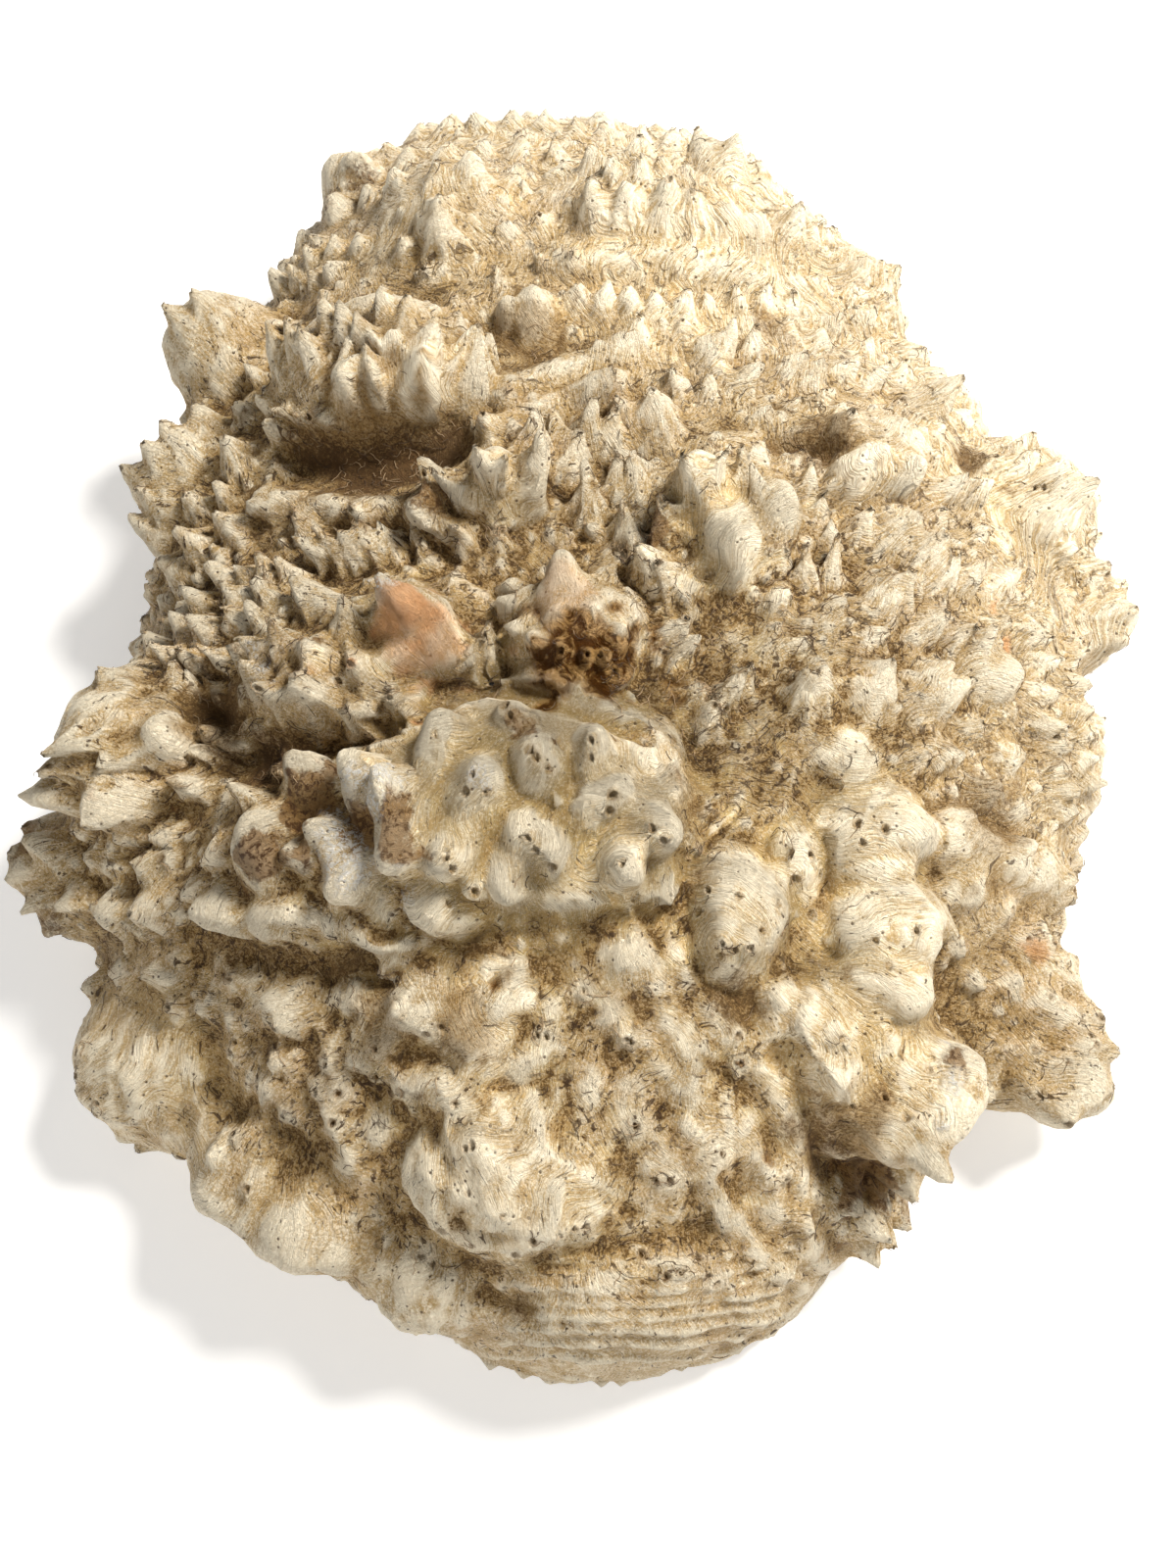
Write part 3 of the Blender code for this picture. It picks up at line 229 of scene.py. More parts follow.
# Rows of spikes: (places, count, radius mm, height mm, direction that the tips lean towards)
spikeRows = [
    ([(395, 150), (500, 128), (560, 134), (690, 152), (785, 158)], 13, 5, 4.5, up),
    ([(415, 168), (540, 155), (605, 168)], 6, 4.5, 4.5, up),
    ([(610, 212), (695, 218), (765, 238), (802, 236)], 7, 6, 5.5, up), ([(455, 238)], 1, 8, 7, up),
    ([(405, 190), (480, 182), (525, 185)], 4, 5, 4.5, up), ([(555, 272), (582, 270)], 2, 4, 3.5, up),
    ([(628, 180), (668, 182), (700, 185)], 4, 4, 4.5, up), ([(812, 238), (840, 244)], 3, 3.5, 3.5, up),
    ([(876, 278), (905, 276), (905, 318)], 5, 4, 3.5, upRight),
    ([(835, 290), (868, 300)], 2, 4, 2.5, upRight),
    ([(328, 252), (318, 268), (308, 284)], 3, 4, 4.5, upLeft), ([(345, 256), (368, 256)], 2, 4, 3.5, up),
    ([(345, 278), (325, 288)], 2, 4, 3.5, upLeft), ([(292, 300)], 1, 5, 6, upLeft),
    ([(290, 366), (320, 364)], 3, 5, 7, up), ([(340, 342), (380, 358)], 3, 5, 7, up),
    ([(395, 325), (440, 346)], 3, 4.5, 6, up), ([(352, 372), (372, 380)], 2, 5, 6, up),
    ([(474, 384)], 1, 7, 10, up), ([(494, 368)], 1, 3.5, 6, up),
    ([(300, 422), (345, 428)], 5, 3, 5, upLeft), ([(262, 388), (285, 440)], 3, 3.5, 5, upLeft),
    ([(190, 330), (215, 322)], 2, 6, 6, upLeft),
    ([(590, 308), (690, 322), (745, 312), (805, 316)], 9, 4, 4.5, up),
    ([(650, 335), (700, 342)], 3, 3.5, 3.5, up), ([(608, 396)], 1, 5, 6, upRight),
    ([(640, 428)], 1, 4.5, 6, upLeft), ([(598, 446), (622, 450)], 2, 5, 7, up),
    ([(668, 434)], 1, 6.5, 7, up), ([(545, 462), (568, 456)], 2, 5, 7, up),
    ([(500, 438), (525, 446)], 2, 4, 3.5, up), ([(755, 396)], 1, 4.5, 6, upRight),
    ([(740, 352), (765, 362)], 2, 3.5, 6, up), ([(690, 400), (720, 405)], 2, 5, 4.5, up),
    ([(805, 380), (826, 384)], 2, 4, 5, upRight),
    ([(858, 386), (884, 398), (908, 398)], 3, 5, 7, upRight),
    ([(806, 418), (832, 418)], 3, 3, 4.5, upRight), ([(862, 440)], 1, 5, 5, upRight),
    ([(845, 335), (880, 330)], 2, 4, 4.5, upRight), ([(935, 350), (955, 378)], 3, 5, 5, upRight),
    ([(965, 400), (990, 430)], 3, 5, 4.5, upRight), ([(958, 500), (990, 504)], 3, 4.5, 6, upRight),
    ([(1010, 480), (1060, 478), (1105, 500)], 4, 5, 4, upRight),
    ([(452, 498), (472, 505)], 2, 5, 7, upLeft), ([(500, 482), (512, 486)], 2, 3.5, 7, up),
    ([(548, 482)], 1, 6.5, 8, up), ([(584, 476)], 1, 6.5, 8, up), ([(602, 522)], 1, 5.5, 8, up),
    ([(628, 508), (646, 504)], 2, 5.5, 8, up), ([(658, 488)], 1, 5.5, 7, upLeft),
    ([(704, 486), (724, 484)], 2, 4, 7, up), ([(756, 490), (775, 500)], 2, 3.5, 6, up),
    ([(684, 540)], 1, 6.5, 8.5, up), ([(636, 552)], 1, 6, 7, upLeft),
    ([(672, 588), (694, 602)], 2, 7, 7, upLeft), ([(820, 505), (845, 555)], 3, 4, 5.5, up),
    ([(876, 546)], 1, 5, 7, upRight), ([(915, 548), (945, 572)], 2, 7.5, 7, upRight),
    ([(960, 592), (982, 594)], 2, 5, 7, upRight), ([(1010, 602)], 1, 7.5, 7, upRight),
    ([(905, 612)], 1, 7, 7, upRight), ([(822, 592), (842, 588)], 2, 4, 7, up),
    ([(945, 640), (1000, 660)], 3, 5, 5.5, upRight), ([(1115, 588), (1135, 602)], 2, 5, 4, upRight),
    ([(1136, 630), (1132, 655)], 2, 6, 4, right), ([(1050, 650), (1060, 740)], 4, 5, 5.5, right),
    ([(1095, 700), (1110, 800)], 5, 4, 4, right), ([(1075, 760), (1085, 830)], 4, 4, 3.5, right),
    ([(216, 442), (194, 456), (170, 476), (148, 494)], 4, 7.5, 7, upLeft),
    ([(246, 474)], 1, 7, 7, upLeft), ([(165, 520), (160, 545)], 2, 6, 5.5, upLeft),
    ([(212, 566), (190, 588)], 2, 7.5, 7, upLeft), ([(232, 576), (240, 545)], 2, 6, 6, upLeft),
    ([(336, 572), (404, 562)], 5, 5.5, 7, upLeft), ([(242, 600), (306, 600)], 4, 5.5, 7, upLeft),
    ([(216, 626), (276, 622), (325, 622)], 4, 6, 7, upLeft),
    ([(196, 652), (242, 642), (278, 646)], 4, 5.5, 7, upLeft),
    ([(166, 668), (206, 682), (232, 674)], 4, 4.5, 7, upLeft),
    ([(180, 700), (225, 712)], 3, 4, 6, upLeft), ([(262, 672), (300, 668)], 3, 5.5, 7, upLeft),
    ([(328, 680), (326, 712)], 2, 7.5, 7, upLeft), ([(296, 718), (272, 702)], 2, 6, 7, upLeft),
    ([(384, 692)], 1, 9, 7, upLeft), ([(372, 728), (412, 724)], 2, 7.5, 8, upLeft),
    ([(356, 642)], 1, 5, 7, up), ([(465, 548), (440, 560)], 2, 5, 6, upLeft),
    ([(85, 752), (78, 782), (70, 810)], 3, 6, 8, left), ([(130, 772)], 1, 5, 5.5, left),
    ([(216, 756), (232, 776), (206, 800)], 3, 5, 7, left), ([(252, 756)], 1, 5, 6, left),
    ([(262, 820)], 1, 4.5, 7, left), ([(175, 852), (100, 835)], 2, 5, 4, left),
    ([(34, 850), (30, 872), (32, 895)], 3, 6, 4, left), ([(46, 915), (58, 938)], 2, 5, 4.5, downLeft),
    ([(62, 868), (118, 878)], 2, 7, 7, left), ([(92, 916)], 1, 5.5, 6, left),
    ([(132, 932), (168, 924)], 2, 8, 7, left), ([(165, 888)], 1, 7, 5.5, left),
    ([(92, 1070), (90, 1098), (95, 1120), (115, 1135)], 4, 6, 3, left),
    ([(160, 998), (186, 1030)], 2, 5, 3, left), ([(212, 1020)], 1, 6, 3, downLeft),
    ([(250, 1000), (245, 1078)], 2, 5, 3, left), ([(292, 1044)], 1, 5, 3, left),
    ([(296, 1084), (284, 1108)], 2, 6.5, 3.5, left), ([(305, 1135), (255, 1160)], 2, 6, 3, left),
    ([(418, 1108)], 1, 9, 2.5, downLeft), ([(355, 1110), (385, 1150)], 2, 6.5, 1.5, downLeft),
    ([(430, 1044)], 1, 7.5, 2, down), ([(472, 1120)], 1, 10, 2.5, downLeft),
    ([(488, 1162)], 1, 10, 2.5, down), ([(530, 1090), (560, 1050)], 2, 7.5, 1.5, down),
    ([(522, 968)], 1, 10, 2, down), ([(732, 1165)], 1, 12, 2.5, down),
    ([(642, 1142)], 1, 10, 2, downRight), ([(682, 1190)], 1, 9, 2, down),
    ([(480, 1205), (508, 1225), (545, 1248)], 3, 9.5, 2.5, down),
    ([(568, 1245), (592, 1240)], 2, 7.5, 2, down), ([(440, 1275), (420, 1300)], 2, 10, 1.5, downLeft),
    ([(690, 1290), (730, 1298)], 2, 6.5, 1.5, down), ([(225, 1170), (262, 1205)], 2, 5, 3, downLeft),
    ([(740, 955), (765, 960)], 2, 4, 2, down), ([(860, 1215), (892, 1216)], 2, 5.5, 6, down),
    ([(950, 1228)], 1, 7, 6.5, downRight), ([(880, 1242), (918, 1242)], 2, 6, 6, downRight),
    ([(880, 1268), (930, 1264)], 3, 4.5, 5, downRight), ([(1100, 900), (1108, 970)], 4, 5, 2.5, right),
    ([(1020, 930), (1040, 960)], 2, 6, 2, right), ([(895, 702)], 1, 7.5, 7, up),
    ([(820, 710), (838, 706)], 2, 6, 6, up), ([(708, 716), (722, 736)], 2, 6, 4, upRight),
    ([(756, 702), (740, 715)], 2, 5, 7, upRight), ([(676, 652), (696, 668)], 2, 5, 5.5, upRight),
    ([(950, 690), (965, 705)], 2, 5, 6, upRight), ([(960, 770), (1000, 800)], 2, 5, 3.5, right),
    ([(748, 1050), (758, 1080)], 2, 5, 1, down), ([(780, 1345), (800, 1300)], 2, 6.5, 1.5, downRight),
    ([(480, 676), (499, 668)], 2, 5, 7, up), ([(408, 610)], 1, 5, 6, upLeft),
    ([(975, 1215), (960, 1240)], 2, 5, 5, downRight),
    ([(1092, 1045), (1118, 1085), (1108, 1122)], 4, 5.5, 2.5, right),
    ([(1045, 1070), (1078, 1088)], 2, 5, 2.5, right), ([(1030, 1000), (1060, 1020)], 2, 5, 2, right),
    ([(340, 1075), (330, 1100), (345, 1135)], 3, 7, 2, downLeft),
    ([(390, 1060), (372, 1080)], 2, 6.5, 2, downLeft),
    ([(600, 1000), (622, 1020), (640, 1050)], 3, 6.5, 2, down),
    ([(455, 1240), (480, 1255), (520, 1268)], 3, 7.5, 2, down),
    ([(1090, 1000), (1112, 1040), (1105, 1085)], 3, 5, 3, right),
    ([(1060, 960), (1085, 985)], 2, 5, 3, right), ([(1128, 1072), (1122, 1108)], 2, 5, 3, right),
    ([(1050, 1110), (1080, 1132)], 2, 5.5, 3, downRight),
]

# Places that stay smooth, with no scattered spikes: (place, radius mm)
calmPlaces = [
    ((560, 360), 17), ((620, 350), 12), ((400, 465), 20), ((540, 820), 30), ((740, 940), 14),
    ((812, 880), 14), ((890, 900), 24), ((890, 1090), 28), ((600, 655), 20), ((425, 635), 16),
    ((700, 280), 16), ((150, 1095), 20), ((660, 1370), 30), ((230, 345), 16), ((1060, 620), 14),
    ((1050, 520), 14), ((300, 1180), 16), ((430, 385), 12), ((650, 770), 12), ((130, 730), 14),
    ((700, 1345), 24), ((420, 1180), 14), ((330, 1260), 14), ((230, 1215), 12), ((640, 720), 14),
    ((745, 665), 15), ((790, 760), 18), ((705, 790), 15), ((640, 770), 12), ((580, 1100), 12),
    ((660, 1180), 12), ((1010, 880), 12),
]

scatter = {
    "seed": 11,
    "count": 1600,
    "lowestRise": 0.02,
    "spacing": 9.5 * mm,
    "radius": (3.8 * mm, 6.2 * mm),
    "slope": (0.5, 0.85),
    "smoothFrontBearing": math.radians(265),
    "smoothFrontHalf": math.radians(50),
    "smoothFrontShare": 0.75,
    "turn": 0.6,
    "lowest": 3 * mm,
    "leanLine": 40 * mm,
}


def unit(vector):
    return vector / np.linalg.norm(vector)


def waves(points, length, seed, count=20):
    # A smooth random field: plane waves of about one length from all sides, of unit variance
    draw = np.random.default_rng(seed)
    directions = draw.normal(size=(count, 3))
    directions /= np.linalg.norm(directions, axis=1)[:, None]
    numbers = 2 * math.pi / (length * draw.uniform(0.7, 1.3, count))
    phases = draw.uniform(0, 2 * math.pi, count)
    return np.sin(points @ (directions * numbers[:, None]).T + phases).sum(axis=1) * math.sqrt(2 / count)


def smoothStep(low, high, values):
    share = np.clip((values - low) / (high - low), 0, 1)
    return share * share * (3 - 2 * share)


def sightFrame():
    # The eye, and the picture's right, up and forward directions
    turn = math.radians(sight["elevation"])
    forward = np.array([0.0, math.cos(turn), -math.sin(turn)])
    above = np.array([0.0, math.sin(turn), math.cos(turn)])
    return sight["target"] - forward * sight["distance"], np.array([1.0, 0.0, 0.0]), above, forward


def rimRadius(bearings):
    listed = np.radians(np.arange(0, 360, 360 / len(burlForm["rimRadii"])))
    weights = np.exp(burlForm["rimSmoothing"] * (np.cos(bearings[:, None] - listed) - 1))
    return weights @ np.array(burlForm["rimRadii"]) / weights.sum(axis=1)


def domePoints(directions):
    level = np.hypot(directions[:, 0], directions[:, 1])
    rim = rimRadius(np.arctan2(directions[:, 1], directions[:, 0]))
    power = burlForm["domeRoundness"]
    height = np.abs(directions[:, 2]) / burlForm["domeHeight"]
    return directions * (((level / rim) ** power + height ** power) ** (-1 / power))[:, None]


def randomDomePoint(draw):
    # A point on the plain dome, and its bearing from the middle
    bearing = draw.uniform(0, 2 * math.pi)
    rise = draw.uniform(scatter["lowestRise"], 1)
    level = math.sqrt(1 - rise * rise)
    return domePoints(np.array([[level * math.cos(bearing), level * math.sin(bearing), rise]]))[0], bearing


def readOff(items, name, width, kind=np.float32):
    # One property of all items, a row for each
    flat = np.empty(len(items) * width, kind)
    items.foreach_get(name, flat)
    return flat.reshape(-1, width)


def pointsOf(mesh):
    return readOff(mesh.vertices, "co", 3).astype(float)


def normalsOf(mesh):
    return readOff(mesh.vertex_normals, "vector", 3).astype(float)


def moveTo(mesh, points):
    mesh.vertices.foreach_set("co", points.astype(np.float32).ravel())
    mesh.update()


def sphereMesh(subdivisions, lowest=-1.0):
    # A unit sphere of even triangles, with what lies under the lowest height taken off
    build = bmesh.new()
    bmesh.ops.create_icosphere(build, subdivisions=subdivisions, radius=1)
    if lowest > -1:
        low = [vert for vert in build.verts if vert.co.z < lowest]
        bmesh.ops.delete(build, geom=low, context="VERTS")
    mesh = bpy.data.meshes.new("sphere")
    build.to_mesh(mesh)
    build.free()
    return mesh


class Ground:
    # The surface that features are set on, and how the place on it that is seen at a picture point is found
    def __init__(self, mesh):
        build = bmesh.new()
        build.from_mesh(mesh)
        self.tree = BVHTree.FromBMesh(build)
        build.free()
        self.eye, self.right, self.up, self.forward = sightFrame()

    def seenAt(self, place):
        for step in range(sight["drawInSteps"]):
            across = (place[0] - sight["middle"][0]) * (1 - step * sight["drawIn"])
            below = (place[1] - sight["middle"][1]) * (1 - step * sight["drawIn"])
            ray = self.forward + (self.right * across - self.up * below) / sight["focalSteps"]
            point, normal, _, _ = self.tree.ray_cast(Vector(self.eye), Vector(unit(ray)))
            if point is not None and point.z > 0:
                return np.array(point), np.array(normal)
        raise ValueError(f"nothing is seen at {place}")

    def nearest(self, point):
        found, normal, _, _ = self.tree.find_nearest(Vector(point))
        return np.array(found), np.array(normal)

    def alongPicture(self, normal, direction):
        wanted = self.right * direction[0] + self.up * direction[1]
        return unit(wanted - normal * (wanted @ normal))

    def seenAll(self, entries):
        # Patches given by place, radius and perhaps a strength, as centres with radii
        return [(self.seenAt(place)[0], radius * mm, *rest) for place, radius, *rest in entries]


def groundOf(subdivisions, shape):
    mesh = sphereMesh(subdivisions)
    moveTo(mesh, shape(pointsOf(mesh)))
    ground = Ground(mesh)
    bpy.data.meshes.remove(mesh)
    return ground


class Cloud:
    # Points sorted along X, so that those near a place are found without looking at them all
    def __init__(self, points):
        self.points = points
        self.order = np.argsort(points[:, 0])
        self.sorted = points[self.order, 0]

    def near(self, centre, reach):
        first, last = np.searchsorted(self.sorted, (centre[0] - reach, centre[0] + reach))
        slab = self.order[first:last]
        return slab[(np.abs(self.points[slab] - centre) < reach).all(axis=1)]


def shares(cloud, centre, normal, along, radii, profile, flutes=0, turn=0.0):
    # The points that one raised form lifts, and the share of its height that each gets. Flutes are
    # ridges that run down its flanks, and fade at its tip
    depth = burlForm["depthReach"] * max(radii)
    near = cloud.near(centre, depth)
    offset = cloud.points[near] - centre
    a, b = offset @ along / radii[0], offset @ np.cross(normal, along) / radii[1]
    q = np.sqrt(a ** 2 + b ** 2 + (offset @ normal / depth) ** 2)
    if flutes:
        q = q * (1 + burlForm["fluteDepth"] * np.minimum(q * 2, 1) * np.sin(flutes * np.arctan2(b, a) + turn))
    inside = q < 1
    return near[inside], (1 - q[inside] ** profile[0]) ** profile[1]


def raiseLobes(points, ground):
    cloud = Cloud(points)
    raised = points.copy()
    lean = burlForm["lobeLean"]
    for place, radius, height, stretch, toward, profile in lobes:
        centre, normal = ground.seenAt(place)
        along = ground.alongPicture(normal, toward)
        near, share = shares(cloud, centre, normal, along, (radius * stretch * mm, radius * mm), profile)
        raised[near] += height * mm * share[:, None] * (normal + lean * share[:, None] * along)
    return raised


def resampled(places, count):
    # Places spread evenly along a polyline in the picture
    line = np.array(places, float)
    if count == 1 or len(line) == 1:
        return [tuple(line[0])] * count
    runs = np.concatenate([[0], np.cumsum(np.linalg.norm(np.diff(line, axis=0), axis=1))])
    wanted = np.linspace(0, runs[-1], count)
    return list(zip(np.interp(wanted, runs, line[:, 0]), np.interp(wanted, runs, line[:, 1])))


def lineDistances(points, line, reach):
    # The distance of each near point from a polyline
    low, high = line.min(axis=0) - reach, line.max(axis=0) + reach
    near = np.nonzero(((points > low) & (points < high)).all(axis=1))[0]
    distance = np.full(len(near), np.inf)
    for start, end in zip(line[:-1], line[1:]):
        run = end - start
        share = np.clip((points[near] - start) @ run / (run @ run), 0, 1)
        distance = np.minimum(distance, np.linalg.norm(points[near] - start - share[:, None] * run, axis=1))
    return near, distance


def raiseFolds(points, ground, entries):
    raised = points.copy()
    for places, halfWidth, height in entries:
        found = [ground.seenAt(place) for place in resampled(places, 1 + 3 * (len(places) - 1))]
        line = np.array([point for point, _ in found])
        normal = unit(np.mean([normal for _, normal in found], axis=0))
        near, distance = lineDistances(points, line, halfWidth * mm)
        q = np.clip(distance / (halfWidth * mm), 0, 1)
        raised[near] += (height * mm * (1 - q ** 2) ** 2)[:, None] * normal
    return raised


def raiseTogether(points, forms, fluted=False):
    # Where forms overlap, the tallest leads and a soft crease stays between them
    cloud = Cloud(points)
    power = burlForm["joinPower"]
    powers = np.zeros(len(points))
    directions = np.zeros_like(points)
    for number, (centre, normal, along, radii, height, profile, lean) in enumerate(forms):
        flutes = burlForm["fluteCounts"][number % len(burlForm["fluteCounts"])] if fluted else 0
        near, share = shares(cloud, centre, normal, along, radii, profile, flutes, number)
        lifts = (height / mm * share) ** power
        powers[near] += lifts
        directions[near] += lifts[:, None] * (normal + lean * share[:, None] * along)
    lifted = powers > 0
    reach = mm * powers[lifted] ** (1 / power - 1)
    moved = points.copy()
    moved[lifted] += directions[lifted] * reach[:, None]
    return moved


def knobForms(ground):
    forms = []
    for place, radius, height, toward in knobs:
        centre, normal = ground.seenAt(place)
        along = ground.alongPicture(normal, toward)
        radii = [radius * share * mm for share in burlForm["knobOval"]]
        forms.append((centre, normal, along, radii, height * mm, knob, burlForm["knobLean"]))
    return forms


def rowSpikes(ground, draw):
    forms = []
    stray = burlForm["rowStray"]
    for places, count, radius, height, toward in spikeRows:
        for across, below in resampled(places, count):
            place = (across + draw.uniform(-stray, stray), below + draw.uniform(-stray, stray))
            turn = draw.uniform(-burlForm["rowTurn"], burlForm["rowTurn"])
            size = draw.uniform(*burlForm["rowSizes"])
            direction = (toward[0] * math.cos(turn) - toward[1] * math.sin(turn),
                         toward[0] * math.sin(turn) + toward[1] * math.cos(turn))
            centre, normal = ground.seenAt(place)
            along = ground.alongPicture(normal, direction)
            radii = [radius * size * burlForm["rowWidth"] * share * mm for share in burlForm["spikeOval"]]
            tall = height * draw.uniform(*burlForm["rowSizes"]) * mm
            forms.append((centre, normal, along, radii, tall, spike, burlForm["spikeLean"]))
    return forms


def outwardFrom(centre, normal, rise=0.0):
    # The direction along the surface that leads away from a line over the burl
    outward = np.array([centre[0], centre[1] + scatter["leanLine"], rise])
    return unit(outward - normal * (outward @ normal))


def scatteredSpikes(ground, taken, draw):
    # Smaller spikes wherever the rows leave room, round the back as well, kept off the calm places
    calm = ground.seenAll(calmPlaces)
    forms, centres = [], [form[0] for form in taken]
    for _ in range(scatter["count"]):
        start, bearing = randomDomePoint(draw)
        centre, normal = ground.nearest(start)
        radius = draw.uniform(*scatter["radius"])
        slope = draw.uniform(*scatter["slope"])
        turn = draw.uniform(-scatter["turn"], scatter["turn"])
        smoothFront = abs(bearing - scatter["smoothFrontBearing"]) < scatter["smoothFrontHalf"]
        if smoothFront and draw.random() < scatter["smoothFrontShare"]:
            continue
        if centre[2] < scatter["lowest"] or any(np.linalg.norm(centre - c) < r for c, r in calm):
            continue
        if np.linalg.norm(np.array(centres) - centre, axis=1).min() < scatter["spacing"]:
            continue
        outward = outwardFrom(centre, normal)
        along = outward * math.cos(turn) + np.cross(normal, outward) * math.sin(turn)
        radii = [radius * share for share in burlForm["spikeOval"]]
        forms.append((centre, normal, along, radii, radius * slope, spike, burlForm["spikeLean"]))
        centres.append(centre)
    return forms


# Small warts between the spikes
wartForm = {
    "seed": 5,
    "tries": 1900,
    "spacing": 4.6 * mm,
    "radius": (1.6 * mm, 3.0 * mm),
    "slope": (0.35, 0.8),
    "shareOnSmooth": 0.05,
    "lean": 0.6,
    "oval": (1.2, 0.9),
    "lowest": 2 * mm,
    "rise": 20 * mm,
}

# Ripples all over: (length, height, seed)
ripples = ((14 * mm, 0.28 * mm, 3), (6 * mm, 0.13 * mm, 4), (3 * mm, 0.06 * mm, 6))

poreForm = {
    "seed": 21,
    "share": 0.85,
    "radius": (0.5 * mm, 0.85 * mm),
    "oval": 1.45,
    "depth": 1.5 * mm,
    "roundness": 0.8,
    # Where on the spike: share of its height, and mm towards the side that it leans to
    "tip": (0.86, 1.0),
    "aside": (-0.3, 0.9),
    # A spike this wide may have a smaller second pore, down its flank
    "wideSpike": 5.5 * mm,
    "secondShare": 0.6,
    "secondSize": 0.8,
    # Height, distance and width of the raised lip, in radii of the pore
    "lip": (0.28, 1.5, 0.45),
    # Reaches of the finer triangles round a pore, and their longest edge
    "reaches": (1.7 * mm, 1.3 * mm),
    "edge": 0.5 * mm,
}

# Pores on the smooth knobs, by place
porePlaces = [
    (445, 750), (515, 720), (520, 730), (540, 765), (547, 773), (570, 755), (573, 762), (560, 785),
    (603, 755), (603, 773), (482, 790), (475, 808), (497, 808), (538, 855), (547, 868), (563, 885),
    (485, 911), (455, 875), (462, 887), (625, 812), (622, 828), (665, 845), (677, 858), (635, 880),
    (458, 922), (722, 908), (713, 930), (755, 915), (735, 975), (750, 970), (778, 950), (808, 872),
    (828, 873), (837, 892), (812, 897), (795, 923), (828, 933), (833, 823), (875, 841), (903, 846),
    (880, 860), (935, 950), (893, 960), (907, 985), (948, 1092), (572, 665), (600, 668), (612, 668),
    (628, 685), (713, 1283), (680, 1303), (723, 1303), (1055, 498), (1065, 498), (1115, 585), (1140, 583),
    (597, 1162), (655, 1280), (870, 1130), (903, 1120), (860, 1060), (925, 1140),
]

# Where few warts grow: (place, radius mm)
plainPlaces = [((560, 1080), 46), ((400, 1070), 36), ((700, 1120), 32), ((500, 1190), 34), ((620, 1300), 44),
               ((300, 1050), 24), ((1040, 880), 20)]

# Fine ridges and cracks that are too narrow for the solid: (places, half width mm, height mm)
fineFolds = [
    ([(520, 1372), (600, 1382)], 2.4, -0.8),
    ([(710, 860), (725, 838), (745, 822)], 1.8, -1.2), ([(722, 868), (738, 846), (757, 832)], 1.6, -1.2),
    ([(730, 822), (745, 812)], 1.4, -1.0), ([(440, 705), (500, 703), (560, 708)], 3, -1.6),
    ([(905, 900), (940, 915), (960, 940)], 3, 0.8), ([(640, 905), (655, 930), (668, 960)], 2.4, -1.0),
    ([(480, 640), (492, 675), (500, 700)], 2.4, -1.3), ([(505, 640), (512, 670), (520, 700)], 2.2, -1.1),
    ([(360, 735), (390, 742), (430, 738)], 2.4, -1.2), ([(160, 720), (120, 760), (108, 800)], 2.6, -1.2),
    ([(150, 705), (105, 725), (88, 745)], 2.4, -1.1), ([(130, 1060), (118, 1100), (125, 1140)], 2.4, -0.9),
    ([(160, 1050), (150, 1100), (158, 1145)], 2.4, -0.9),
    ([(810, 1060), (850, 1110), (900, 1160)], 3, -0.8),
    ([(840, 1020), (880, 1080), (925, 1130)], 2.6, -0.7),
    ([(560, 1190), (600, 1215), (640, 1235)], 2.6, -1.0),
    ([(740, 1200), (775, 1260), (830, 1305)], 2.4, -1.0),
    ([(460, 1250), (500, 1262), (545, 1268)], 2.6, -1.0),
]

# The front lip is stepped: narrow level ridges, one under the other
lipRidges = {"first": 1288, "last": 1386, "count": 8, "from": 560, "to": 808, "sag": 3, "rise": 14,
             "wider": 8, "shorter": 3, "halfWidth": 1.6, "height": 1.1}

# Short wrinkles of the front, as seen: they run away from a middle and turn a little
wrinkles = {"seed": 8, "count": 80, "from": (250, 955), "to": (860, 1300), "middle": (600, 700),
            "length": (50, 120), "turn": 0.4, "halfWidth": (2.0, 3.6), "height": (0.4, 0.9),
            "raised": (1, 1, -0.7)}


def lipFolds():
    lip = lipRidges
    entries = []
    for number in range(lip["count"]):
        below = lip["first"] + (lip["last"] - lip["first"]) * number / (lip["count"] - 1)
        start = (lip["from"] - lip["wider"] * number, below - lip["sag"])
        middle = ((lip["from"] + lip["to"]) / 2, below)
        end = (lip["to"] - lip["shorter"] * number, below - lip["rise"])
        entries.append(([start, middle, end], lip["halfWidth"], lip["height"]))
    return entries


def wrinkleFolds():
    draw = random.Random(wrinkles["seed"])
    entries = []
    for _ in range(wrinkles["count"]):
        start = np.array([draw.uniform(*pair) for pair in zip(wrinkles["from"], wrinkles["to"])])
        outward = start - np.array(wrinkles["middle"])
        heading = math.atan2(outward[1], outward[0]) + draw.uniform(-1, 1) * wrinkles["turn"]
        line, step = [start], draw.uniform(*wrinkles["length"]) / 2
        for _ in range(2):
            line.append(line[-1] + step * np.array([math.cos(heading), math.sin(heading)]))
            heading += draw.uniform(-1, 1) * wrinkles["turn"]
        height = draw.uniform(*wrinkles["height"]) * draw.choice(wrinkles["raised"])
        entries.append((line, draw.uniform(*wrinkles["halfWidth"]), height))
    return entries


